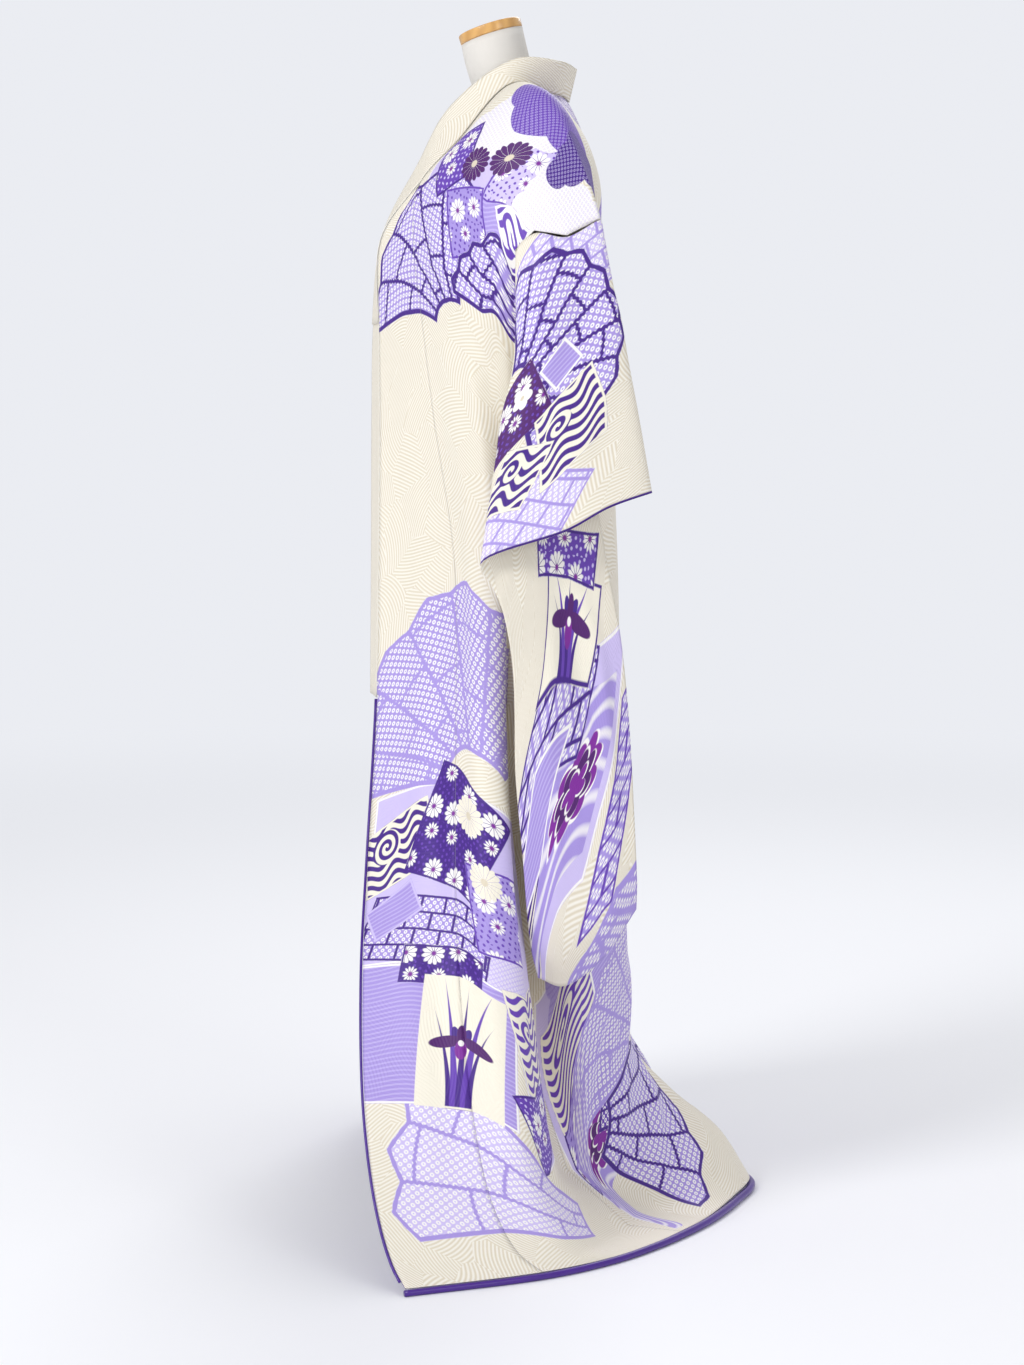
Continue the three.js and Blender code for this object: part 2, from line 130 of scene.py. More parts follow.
# Name, place, the spot it points at, width in metres and power in watts.
LIGHTS = (
    ("light_front", (3.2, -3.0, 3.2), (0.1, 0, 0.6), 1.8, 126),
    ("light_side", (3.6, 2.6, 2.2), (0.1, 0, 0.7), 2.0, 30),
    ("light_far", (-3.0, 1.0, 3.4), (0, 0, 0.9), 2.4, 55),
)
for name, place, aim, size, power in LIGHTS:
    bpy.ops.object.light_add(type="AREA", location=place)
    lamp = bpy.context.object
    lamp.name = name
    lamp.data.shape = "DISK"
    lamp.data.size = size
    lamp.data.energy = power
    lamp.rotation_mode = "QUATERNION"
    way = Vector(place) - Vector(aim)
    lamp.rotation_quaternion = way.to_track_quat("Z", "Y")

CAMERA_PLACE, CAMERA_DOWN = (3.70, 0.0, 1.007), math.radians(5.42)
CAMERA_LENS, CAMERA_FILM = 76.9, 36
bpy.ops.object.camera_add(location=CAMERA_PLACE,
                          rotation=(math.radians(90) - CAMERA_DOWN, 0, math.radians(90)))
camera = bpy.context.object
camera.name = "camera"
camera.data.lens = CAMERA_LENS
camera.data.sensor_width = CAMERA_FILM
bpy.context.scene.camera = camera
bpy.context.scene.view_settings.view_transform = "Standard"


# ---- Figured and printed silk ----------------------------------------------
# The whole garment is cut from one ivory silk, woven with patches of fine
# raised lines, then resist-dyed in violets with fans, cards, water and flowers.
# cream and silk are not dyes of the ground: silk is the ground at the crests of the raised lines and
# cream their painted shade in the hollows; cream also prints the hearts of flowers.
DYES_AND_WEAVE_SHADE = {"ivory": "F1EBDA", "white": "F6F3F0", "cream": "DBD0B9", "silk": "F4F0E5", "violet": "3F1283",
        "mid": "6339AE", "lavender": "A592DA", "pale": "CCBFEC", "plum": "4B0566", "magenta": "7C1A96"}


def dye(name):
    parts = [int(DYES_AND_WEAVE_SHADE[name][i:i + 2], 16) / 255 for i in (0, 2, 4)]
    return tuple(c / 12.92 if c <= 0.04045 else ((c + 0.055) / 1.055) ** 2.4 for c in parts)


class Wire:
    """A number that runs through a material's nodes and takes plain arithmetic."""

    def __init__(self, tree, socket):
        self.tree = tree
        self.socket = socket

    def through(self, kind, *others, clamp=False):
        node = self.tree.nodes.new("ShaderNodeMath")
        node.operation = kind
        node.use_clamp = clamp
        for into, value in zip(node.inputs, (self, *others)):
            if isinstance(value, Wire):
                self.tree.links.new(value.socket, into)
            else:
                into.default_value = value
        return Wire(self.tree, node.outputs[0])

    def __add__(self, other):
        return self.through("ADD", other)

    def __sub__(self, other):
        return self.through("SUBTRACT", other)

    def __mul__(self, other):
        return self.through("MULTIPLY", other)

    def __truediv__(self, other):
        return self.through("DIVIDE", other)

    def fraction(self):
        return self.through("FRACT")

    def floor(self):
        return self.through("FLOOR")

    def size(self):
        return self.through("ABSOLUTE")

    def wave(self):
        return self.through("SINE")

    def high(self, other):
        return self.through("MAXIMUM", other)

    def low(self, other):
        return self.through("MINIMUM", other)

    def inside(self, soft=0.0005):
        """1 where a distance is below 0, 0 where it is above, with a soft edge."""
        return self.through("MULTIPLY_ADD", -0.5 / soft, 0.5, clamp=True)


def split(tree, vector):
    """The first two numbers of a vector that arrives at a socket."""
    parts = tree.nodes.new("ShaderNodeSeparateXYZ")
    tree.links.new(vector, parts.inputs[0])
    return Wire(tree, parts.outputs["X"]), Wire(tree, parts.outputs["Y"])


def blend(tree, share, low, high):
    """A colour between two, each given or arriving at a socket, by a share from 0 to 1."""
    mix = tree.nodes.new("ShaderNodeMix")
    mix.data_type = "RGBA"
    tree.links.new(share, mix.inputs["Factor"])
    for into, colour in (("A", low), ("B", high)):
        if isinstance(colour, tuple):
            mix.inputs[into].default_value = (*colour, 1)
        else:
            tree.links.new(colour, mix.inputs[into])
    return mix.outputs["Result"]


def raise_relief(tree, shader, height, strength, depth):
    """Fine relief on a shader's surface, from a height that arrives at a socket."""
    bump = tree.nodes.new("ShaderNodeBump")
    bump.inputs["Strength"].default_value = strength
    bump.inputs["Distance"].default_value = depth
    tree.links.new(height, bump.inputs["Height"])
    tree.links.new(bump.outputs["Normal"], shader.inputs["Normal"])


def length(x, y):
    return (x * x + y * y).through("SQRT")


def bearing(x, y):
    return x.through("ARCTAN2", y)


def resist_dots(x, y, pitch):
    """Tied resist dots, white with a dyed heart, in slanting rows."""
    a = ((x + y) / (pitch * 1.41)).fraction() - 0.5
    b = ((x - y) / (pitch * 1.41)).fraction() - 0.5
    r = length(a, b)
    return r.through("SUBTRACT", 0.36).inside(0.08) - r.through("SUBTRACT", 0.13).inside(0.07)


def fan(x, y, size, wide, ground, line):
    """An open folding fan, pivot at the middle, ribs and stepped leaves of resist dots."""
    half, ribs = math.radians(wide), max(3, round(wide / 8.5))
    r, a = length(x, y), bearing(x, y)
    zigzag = (r / 0.0011).wave() * 0.0008 / r
    leaf = (a + zigzag) * (ribs / (2 * half)) + 0.5
    off_rib = (leaf.fraction() - 0.5).size()
    outer = r - (off_rib * (-0.10 * size) + size)
    edge = outer.high(r * -1 + 0.22 * size).high((a.size() - half) * r)
    ribs_line = ((off_rib * -1 + 0.5) * r * (2 * half / ribs) - 0.0022).inside()
    stairs = (a * r / 0.0011).wave() * (0.0008 / (0.3 * size))
    step = (r / (0.3 * size) + leaf.floor() * 0.37 + stairs).fraction()
    step_line = (((step - 0.5).size() * -1 + 0.5) * (0.3 * size) - 0.0020).inside()
    rim = ((edge + 0.003).size() - 0.0026).inside()
    shape = edge.inside()
    return [(shape, ground), (shape * resist_dots(x, y, 0.0075), "white"),
            (shape * ribs_line.high(step_line).high(rim), line)]


def card(x, y, size, tall, ground, line):
    edge = (x.size() - size).high(y.size() - tall)
    shape = edge.inside()
    return shape, [(shape, ground)], [(shape * ((edge + 0.0015).size() - 0.0013).inside(), line)]


def bar(x, y, size, tall, ground, line):
    return card(x, y, size, tall, ground, line)[1]


def water_card(x, y, size, tall, ground, line):
    """Running water in winding stripes round a whirl."""
    shape, under, over = card(x, y, size, tall, ground, line)
    r = length(x + size * 0.35, y - tall * 0.3)
    whirl = ((r / 0.0017) + bearing(x + size * 0.35, y - tall * 0.3)).wave()
    flow = ((y / 0.0022) + (x / 0.0065).wave() * 2.6).wave()
    near = (r - 0.4 * size).inside(0.001)
    stripes = whirl * near + flow * (near * -1 + 1)
    return under + [(shape * stripes.through("MULTIPLY_ADD", 2.2, 0.55, clamp=True), line)] + over


def dotted_card(x, y, size, tall, ground, line):
    """A resist-dotted field parted by crooked lanes."""
    shape, under, over = card(x, y, size, tall, ground, line)
    lane = ((x / 0.034) + (y / 0.021).floor() * 0.5).fraction()
    lanes = (((lane - 0.5).size() * -1 + 0.5) * 0.034 - 0.0018).inside()
    rows = (((y / 0.021).fraction() - 0.5).size() * -1 + 0.5) * 0.021 - 0.0014
    return under + [(shape * resist_dots(x, y, 0.0068), "white"),
                    (shape * lanes.high(rows.inside()), line)] + over


def lined_card(x, y, size, tall, ground, line):
    """A plain card of fine drawn lines."""
    shape, under, over = card(x, y, size, tall, ground, line)
    stripes = ((y + (x / 0.02).wave() * 0.004) / 0.0009).wave()
    return under + [(shape * stripes.through("MULTIPLY_ADD", 0.5, 0.1, clamp=True), "pale")] + over


def blossom(x, y, size, petals, deep, colour, vein, line):
    """A round flower with notched petals, veins between them and a pale heart."""
    r, a = length(x, y), bearing(x, y)
    notch = (a * (petals / 2)).wave().size()
    shape = (r - (notch * (deep * size) + (1 - deep) * size)).inside()
    veins = ((notch * r) - vein).inside(0.0003)
    return [(shape, colour), (shape * veins, line), ((r - 0.2 * size).inside(), "cream")]


def chrysanthemum(x, y, size, tall, ground, line):
    return blossom(x, y, size, 16, 0.16, ground, 0.0008, line)


def plum_blossom(x, y, size, tall, ground, line):
    return blossom(x, y, size, 5, 0.3, ground, 0.0007, line)


def flower_card(x, y, size, tall, ground, line):
    """A card strewn with small flowers and leaves."""
    shape, under, over = card(x, y, size, tall, ground, line)
    rank = (y / 0.036).floor()
    slid = x / 0.036 + rank * 0.5
    chance = (slid.floor() * 5.3 + rank * 9.1).wave()
    a = slid.fraction() - 0.5 - chance * 0.12
    b = (y / 0.036).fraction() - 0.5 + chance * 0.14
    r, turn = length(a, b), bearing(a, b)
    petals = (turn * 6).wave().size()
    bloom = (r - (petals * 0.12 + 0.22 + chance * 0.09)).inside(0.03)
    veins = (petals * r - 0.05).inside(0.02)
    leaf = ((a * 2.1 + b) * 9).wave() * ((b * 2.3 - a) * 8).wave()
    leaf = leaf.through("MULTIPLY_ADD", 3.0, -1.2, clamp=True)
    return under + [(shape * leaf, "mid" if ground != "mid" else "pale"), (shape * bloom, "white"),
                    (shape * bloom * veins, line), (shape * (r - 0.08).inside(0.03), "magenta")] + over


def iris_card(x, y, size, tall, ground, line):
    """An iris in flower among its long leaves."""
    shape, under, over = card(x, y, size, tall, ground, line)
    layers = list(under)
    up = (y + tall) / (2 * tall)
    leaves = ((-0.22, -0.85, 0.72, "violet"), (-0.10, -0.42, 0.95, "mid"), (0.02, 0.10, 0.90, "violet"),
              (0.14, 0.55, 0.98, "mid"), (0.22, 0.95, 0.70, "violet"))
    for root, lean, reach, colour in leaves:
        off = (x - up * up * (lean * size) - root * size).size()
        layers.append((shape * (off - (up * -1 + reach) * (0.12 * size)).inside(), colour))
    petals = ((0.35, -0.12, 0.16, 0.10, 0.22, "violet"), (-0.35, 0.12, 0.16, 0.10, 0.22, "violet"),
              (0, 0, 0.18, 0.11, 0.24, "plum"), (0.18, -0.36, 0.00, 0.40, 0.14, "plum"),
              (-0.18, 0.36, 0.00, 0.40, 0.14, "plum"), (0, 0, -0.16, 0.14, 0.22, "magenta"))
    for turn, at_x, at_y, wide, high, colour in petals:
        px, py = x - at_x * size, y - at_y * size
        along = px * math.cos(turn) + py * math.sin(turn)
        beside = py * math.cos(turn) - px * math.sin(turn)
        petal = (length(along / (wide * size), beside / (high * size)) - 1).inside(0.05)
        layers.append((shape * petal, colour))
    layers.append((shape * (length(x, y) - 0.07 * size).inside(), "white"))
    return layers + over


def peony_card(x, y, size, tall, ground, line):
    """A full peony over water lines."""
    layers = water_card(x, y, size, tall, ground, line)[:1]
    shape = layers[0][0]
    flow = ((y / 0.003) + (x / 0.011).wave() * 2.0).wave()
    layers.append((shape * flow.through("MULTIPLY_ADD", 0.8, 0.0, clamp=True), "white"))
    r, a = length(x, y), bearing(x, y)
    rings = ((0.62, 9, "white"), (0.58, 9, "magenta"), (0.42, 7, "white"), (0.39, 7, "plum"),
             (0.22, 5, "white"), (0.19, 5, "magenta"))
    for share, petals, colour in rings:
        rim = (a * petals * 0.5 + share * 9).wave().size() * (0.16 * size) + share * size
        layers.append((shape * (r - rim).inside(), colour))
    return layers


def cloud(x, y, size, tall, ground, line):
    """A drifting bank of dye, speckled with fine resist dots."""
    bank = length(x, y) - size
    puffs = ((0.9, -0.2, 0.7), (-0.85, 0.1, 0.62), (0.3, 0.55, 0.7), (1.5, -0.45, 0.45))
    for at_x, at_y, share in puffs:
        bank = bank.low(length(x - at_x * size, y - at_y * size) - share * size)
    shape = bank.inside()
    return [(shape, ground), (shape * resist_dots(x, y, 0.0045) * 0.55, line)]


KINDS = {"fan": fan, "bar": bar, "water": water_card, "dotted": dotted_card, "lined": lined_card,
         "flowers": flower_card, "iris": iris_card, "peony": peony_card, "mum": chrysanthemum,
         "plum": plum_blossom, "cloud": cloud}


STAMPS = {}


def stamp(motif, stretch):
    """One motif at its place as a node group that inks the colour under it."""
    if (motif, stretch) in STAMPS:
        return STAMPS[motif, stretch]
    kind, at_u, at_v, size, tall, turn, tone, line = motif
    made = bpy.data.node_groups.new("stamp_" + kind, "ShaderNodeTree")
    made.interface.new_socket("Cloth", in_out="INPUT", socket_type="NodeSocketVector")
    made.interface.new_socket("Colour", in_out="INPUT", socket_type="NodeSocketColor")
    made.interface.new_socket("Colour", in_out="OUTPUT", socket_type="NodeSocketColor")
    arrives = made.nodes.new("NodeGroupInput")
    place = made.nodes.new("ShaderNodeMapping")
    place.vector_type = "TEXTURE"
    place.inputs["Location"].default_value = (at_u, at_v, 0)
    place.inputs["Rotation"].default_value = (0, 0, math.radians(turn))
    place.inputs["Scale"].default_value = (stretch, 1, 1)
    made.links.new(arrives.outputs["Cloth"], place.inputs["Vector"])
    x, y = split(made, place.outputs[0])
    colour = arrives.outputs["Colour"]
    for cover, ink in KINDS[kind](x, y, size, tall, tone, line):
        colour = blend(made, cover.socket, colour, dye(ink))
    made.links.new(colour, made.nodes.new("NodeGroupOutput").inputs["Colour"])
    STAMPS[motif, stretch] = made
    return made


PATCHES_PER_METRE, LINE_PITCH, LINE_CURVE = 21, 0.0040, 14
FULL_TURN = 6.283
SILK_ROUGHNESS, SILK_SHEEN, SHEEN_ROUGHNESS = 0.55, 0.08, 0.4
LINE_STRENGTH, LINE_DEPTH = 0.35, 0.0006


def printed_silk(name, motifs, low=-9.0, high=9.0, stretch=1.0):
    """Figured silk with its motifs, each laid over the one before it, for the cloth
    between two distances along its length."""
    made, tree, shader = new_material(name)
    cloth_map = tree.nodes.new("ShaderNodeUVMap")
    cloth_map.uv_map = "cloth"

    patches = tree.nodes.new("ShaderNodeTexVoronoi")
    patches.voronoi_dimensions = "2D"
    patches.inputs["Scale"].default_value = PATCHES_PER_METRE
    tree.links.new(cloth_map.outputs["UV"], patches.inputs["Vector"])
    u, v = split(tree, cloth_map.outputs["UV"])
    chance = tree.nodes.new("ShaderNodeSeparateColor")
    tree.links.new(patches.outputs["Color"], chance.inputs[0])
    slant = Wire(tree, chance.outputs[0]) * FULL_TURN
    curve = (Wire(tree, chance.outputs[1]) - 0.5) * LINE_CURVE
    heart_u, heart_v = split(tree, patches.outputs["Position"])
    u, v = u - heart_u, v - heart_v
    across = u * slant.through("COSINE") + v * slant.wave()
    beside = v * slant.through("COSINE") - u * slant.wave()
    relief = ((across + beside * beside * curve) * (FULL_TURN / LINE_PITCH)).wave() * 0.5 + 0.5
    # Painted shade: the hollows of the raised lines are painted darker cream and their crests lighter
    # silk.
    colour = blend(tree, (relief * 0.96 + 0.02).socket, dye("cream"), dye("silk"))
    for motif in motifs:
        kind, at_v, size, tall = motif[0], motif[2], motif[3], motif[4]
        reach = stretch * {"fan": size, "cloud": 2.0 * size}.get(kind, math.hypot(size, tall))
        if not low - reach < at_v < high + reach:
            continue
        layer = tree.nodes.new("ShaderNodeGroup")
        layer.node_tree = stamp(motif, stretch)
        tree.links.new(cloth_map.outputs["UV"], layer.inputs["Cloth"])
        tree.links.new(colour, layer.inputs["Colour"])
        colour = layer.outputs["Colour"]
    tree.links.new(colour, shader.inputs["Base Color"])
    shader.inputs["Roughness"].default_value = SILK_ROUGHNESS
    shader.inputs["Sheen Weight"].default_value = SILK_SHEEN
    shader.inputs["Sheen Roughness"].default_value = SHEEN_ROUGHNESS
    raise_relief(tree, shader, relief.socket, LINE_STRENGTH, LINE_DEPTH)
    return made


# ---- Body panels -----------------------------------------------------------
# Each half of the body is one length of figured silk, lined, that runs from the
# front hem over the shoulder to the back hem with no seam on top. It is
# printed with fans and squares and hangs from the shoulders of the form.
FRONT = [
    [[471, -122, 7], [404, 38, 7], [345, 118, 7], [285, 172, 7], [232, 210, 7]],
    [[452, -138, 32], [400, 6, 32], [366, 72, 26], [302, 108, 18], [224, 142, 13]],
    [[420, -156, 84], [384, -24, 88], [368, 26, 96], [325, 50, 96], [192, 68, 74]],
    [[350, -174, 183], [350, -46, 184], [352, 2, 187], [326, 33, 188], [158, 30, 184]],
    [[260, -181, 322], [290, -62, 322], [306, -20, 322], [292, 19, 322], [122, -6, 322]],
    [[150, -179, 450], [236, -68, 450], [262, -32, 450], [252, 4, 450], [112, -8, 450]],
    [[100, -169, 645], [184, -68, 645], [212, -40, 645], [214, -12, 645], [128, -6, 645]],
    [[66, -167, 816], [152, -70, 816], [186, -45, 816], [196, -18, 816], [172, 0, 816]],
    [[38, -166, 1000], [122, -97, 1000], [166, -60, 1000], [188, -25, 1000], [186, 8, 1000]],
    [[22, -167, 1110], [102, -110, 1105], [152, -74, 1102], [186, -34, 1100], [196, 6, 1100]],
    [[36, -163, 1212], [94, -121, 1205], [150, -84, 1200], [205, -36, 1196], [238, 4, 1190]],
    [[78, -121, 1270], [84, -115, 1273], [140, -78, 1278], [204, -25, 1262], [246, 26, 1212]],
    [[89.5, -66, 1331], [90, -65, 1330], [136, -42, 1346], [200, 0, 1326], [249, 64, 1206]],
]
RIDGE = [[40, -8, 1404], [72, -1, 1400], [132, 12, 1395], [190, 42, 1372], [240, 104, 1226]]
BACK = [
    [[30, 47, 1393], [112, 66, 1366], [186, 88, 1316], [226, 102, 1208]],
    [[0, 70, 1384], [108, 100, 1302], [184, 102, 1262], [210, 72, 1202]],
    [[0, 104, 1262], [106, 110, 1215], [176, 96, 1200], [206, 24, 1187]],
    [[0, 111, 1120], [104, 114, 1102], [166, 92, 1100], [192, 14, 1100]],
    [[0, 115, 1000], [104, 116, 1000], [162, 86, 1000], [186, 8, 1000]],
    [[0, 124, 816], [104, 123, 816], [160, 84, 816], [172, 0, 816]],
    [[0, 130, 645], [104, 129, 645], [164, 84, 645], [128, -6, 645]],
    [[0, 133, 450], [104, 133, 450], [170, 84, 450], [112, -8, 450]],
    [[0, 137, 322], [105, 136, 322], [172, 84, 322], [122, -6, 322]],
    [[0, 152, 190], [106, 142, 186], [170, 90, 183], [158, 30, 184]],
    [[0, 206, 128], [104, 172, 100], [166, 106, 66], [192, 68, 74]],
    [[0, 268, 76], [92, 226, 56], [164, 160, 20], [224, 142, 13]],
    [[0, 310, 10], [86, 284, 8], [168, 248, 7], [232, 210, 7]],
]
SEAM_TOP = 10
NAPE_ROW = 15
UNDERLAP = 15


def ease(t):
    t = min(1.0, max(0.0, t))
    return t * t * (3 - 2 * t)


def to_left(point):
    return point


def to_right(point):
    x, y, z = point
    near = ease((160 - x) / 110) * ease((1296 - z) / 60) * ease((z - 600) / 110)
    return (-x, y + ((UNDERLAP + 0.5 * max(0, -x)) * near if y < -60 else 0), z)


def below(point, out):
    return (point[0] + out, point[1], point[2] - 90)


def body_lines(place):
    rows = []
    for i, row in enumerate(FRONT):
        rows.append([*row, BACK[12 - i][2] if i < SEAM_TOP else below(row[4], 10)])
    rows.append([*RIDGE, below(RIDGE[4], 14)])
    for i, row in enumerate(BACK):
        beyond = FRONT[12 - i][3] if 12 - i < SEAM_TOP else below(row[3], -8)
        rows.append([(-row[1][0], row[1][1], row[1][2]), *row, beyond])
    return np.array([[place(tuple(p)) for p in row] for row in rows], float)


def smooth(knots, places, straight=False):
    """Points at the given places on the smooth curves through rows of knots."""
    places = np.clip(places, 0, len(knots) - 1)
    i = np.minimum(places.astype(int), len(knots) - 2)
    t = (places - i)[:, None, None]
    b, c = knots[i], knots[i + 1]
    if straight:
        return b + (c - b) * t
    ends = np.concatenate([2 * knots[:1] - knots[1:2], knots, 2 * knots[-1:] - knots[-2:-1]])
    a, d = ends[i], ends[i + 3]
    spans = ((a, b), (b, c), (c, d))
    ab, bc, cd = (np.sqrt(np.linalg.norm(q - p, axis=2, keepdims=True)) for p, q in spans)
    m0 = ((b - a) / ab - (c - a) / (ab + bc) + (c - b) / bc) * bc
    m1 = ((c - b) / bc - (d - b) / (bc + cd) + (d - c) / cd) * bc
    return (b * (2 * t**3 - 3 * t**2 + 1) + m0 * (t**3 - 2 * t**2 + t)
            + c * (3 * t**2 - 2 * t**3) + m1 * (t**3 - t**2))


def surface(lines, rows, cols, straight_col=None):
    """Grid of points at row places and column places on the sheet through the lines."""
    along = smooth(lines, rows)
    if straight_col is not None:
        along[:, straight_col] = smooth(lines, rows, straight=True)[:, straight_col]
    return smooth(along.transpose(1, 0, 2), cols).transpose(1, 0, 2)


def outward(grid):
    along = np.gradient(grid, axis=0)
    across = np.gradient(grid, axis=1)
    way = np.cross(across, along)
    return way / (np.linalg.norm(way, axis=2, keepdims=True) + 1e-9)


def pull_in(grid, side, amount):
    """Draws one border of a grid back from its seam, square to the border."""
    edge, inner = {"first_row": (grid[0], grid[1]), "last_row": (grid[-1], grid[-2]),
                   "first_col": (grid[:, 0], grid[:, 1]), "last_col": (grid[:, -1], grid[:, -2])}[side]
    way = inner - edge
    run = np.gradient(edge, axis=0)
    run /= np.linalg.norm(run, axis=1, keepdims=True) + 1e-9
    way -= run * (way * run).sum(axis=1, keepdims=True)
    room = np.linalg.norm(way, axis=1, keepdims=True) + 1e-9
    amount = np.asarray(amount, float).reshape(-1, 1)
    edge += way / room * np.minimum(np.broadcast_to(amount, room.shape), 0.8 * room)


def measure(grid):
    """Millimetres of cloth across from the first column, and along from the first row."""
    across, along = np.zeros(grid.shape[:2]), np.zeros(grid.shape[:2])
    across[:, 1:] = np.cumsum(np.linalg.norm(np.diff(grid, axis=1), axis=2), axis=1)
    along[1:] = np.cumsum(np.linalg.norm(np.diff(grid, axis=0), axis=2), axis=0)
    return across, along


FOLD_FREE = 14


def crease(grid, folds, seam=0, way=1, share=1.0):
    """Soft ridges and troughs, each along a line from one spot of the cloth to another
    in metres, with its width in metres and its height in millimetres."""
    across, along = measure(grid)
    to_side = np.minimum(across, across[:, -1:] - across)
    to_end = np.minimum(along, along[-1:] - along)
    held = np.clip(np.minimum(to_side, to_end) / FOLD_FREE, 0, 1)
    u, v = (across - across[:, [seam]]) * way / 1000, along / 1000
    lift = np.zeros(u.shape)
    in_metres = np.array(folds, float) / (1000, 1000, 1000, 1000, 1000, 1)
    for from_u, from_v, to_u, to_v, width, height in in_metres.tolist():
        run_u, run_v = to_u - from_u, to_v - from_v
        at = np.clip(((u - from_u) * run_u + (v - from_v) * run_v) / (run_u**2 + run_v**2), 0, 1)
        off = np.hypot(u - from_u - at * run_u, v - from_v - at * run_v)
        lift += height * np.exp(-(off / width) ** 2) * (1 - (2 * at - 1) ** 4)
    grid += outward(grid) * (share * lift * held * held * (3 - 2 * held))[:, :, None]


def cloth(name, grid, wall, outer, inner, seam=0, way=1, cuts=()):
    """A lined sheet of cloth through a grid in millimetres. Its UV map is in metres of
    cloth: across from the seam column, and along from the first row. Its outer and inner
    materials change at the cuts along its length."""
    rows, cols = grid.shape[:2]
    number = np.arange(rows * cols).reshape(rows, cols)
    corners = [number[:-1, :-1], number[:-1, 1:], number[1:, 1:], number[1:, :-1]]
    faces = np.stack(corners, axis=2).reshape(-1, 4)
    mesh = bpy.data.meshes.new(name)
    mesh.from_pydata((grid / 1000).reshape(-1, 3).tolist(), [], faces.tolist())
    across, along = measure(grid)
    across = (across - across[:, [seam]]) * way
    spots = np.stack([across, along], axis=2).reshape(-1, 2) / 1000
    cloth_map = mesh.uv_layers.new(name="cloth")
    corner = np.zeros(len(mesh.loops), int)
    mesh.loops.foreach_get("vertex_index", corner)
    cloth_map.data.foreach_set("uv", spots[corner].astype(np.float32).ravel())
    piece = bpy.data.objects.new(name, mesh)
    bpy.context.collection.objects.link(piece)
    for colour in [*outer, *inner]:
        mesh.materials.append(colour)
    middle = spots[faces][:, :, 1].mean(axis=1)
    zone = np.searchsorted(np.array(cuts, float), middle).astype(np.int32)
    mesh.polygons.foreach_set("material_index", zone)
    mesh.polygons.foreach_set("use_smooth", [True] * len(mesh.polygons))
    bpy.context.view_layer.objects.active = piece
    solidify = piece.modifiers.new("lining", "SOLIDIFY")
    solidify.thickness = wall / 1000
    solidify.offset = -1
    solidify.use_even_offset = False
    solidify.material_offset = len(outer)
    solidify.material_offset_rim = len(outer)
    bpy.ops.object.modifier_apply(modifier="lining")
    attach(piece, "root")
    return piece


ONE_BAND = 0.314


def woven(name, colour, shade, pitch, roughness, sheen=0.2, raised=0.3, dipped=None):
    """Plain-woven cloth: fine threads crossing, painted darker between them as shade, over a
    slow unevenness of the dye. A dipped one has another colour and shade below and above
    two lengths of the cloth."""
    made, tree, shader = new_material(name)
    nodes, links = tree.nodes, tree.links
    place = nodes.new("ShaderNodeTexCoord")
    cloud_node = nodes.new("ShaderNodeTexNoise")
    cloud_node.inputs["Scale"].default_value = 22
    cloud_node.inputs["Detail"].default_value = 4
    links.new(place.outputs["Object"], cloud_node.inputs["Vector"])
    threads = []
    for way in ("Z", "DIAGONAL"):
        thread = nodes.new("ShaderNodeTexWave")
        thread.bands_direction = way
        thread.inputs["Scale"].default_value = ONE_BAND / pitch
        thread.inputs["Distortion"].default_value = 0.6
        links.new(place.outputs["Object"], thread.inputs["Vector"])
        threads.append(Wire(tree, thread.outputs["Fac"]))
    weave = threads[0].high(threads[1])
    # Painted shade between the crossing threads, about a third of the mix, over the real uneven tone of
    # the dye.
    thread_shade_and_dye_tone = weave * 0.35 + Wire(tree, cloud_node.outputs["Fac"]) * 0.65
    result = blend(tree, thread_shade_and_dye_tone.through("MULTIPLY", 1.3, clamp=True).socket, shade, colour)
    if dipped:
        dip, dip_shade, low, high = dipped
        cloth_map = nodes.new("ShaderNodeUVMap")
        cloth_map.uv_map = "cloth"
        along = split(tree, cloth_map.outputs["UV"])[1]
        tone = blend(tree, thread_shade_and_dye_tone.socket, dip_shade, dip)
        ends = (along - low).inside().high((along * -1 + high).inside())
        result = blend(tree, ends.socket, result, tone)
    links.new(result, shader.inputs["Base Color"])
    shader.inputs["Roughness"].default_value = roughness
    shader.inputs["Sheen Weight"].default_value = sheen
    raise_relief(tree, shader, weave.socket, raised, pitch * 0.25)
    return made


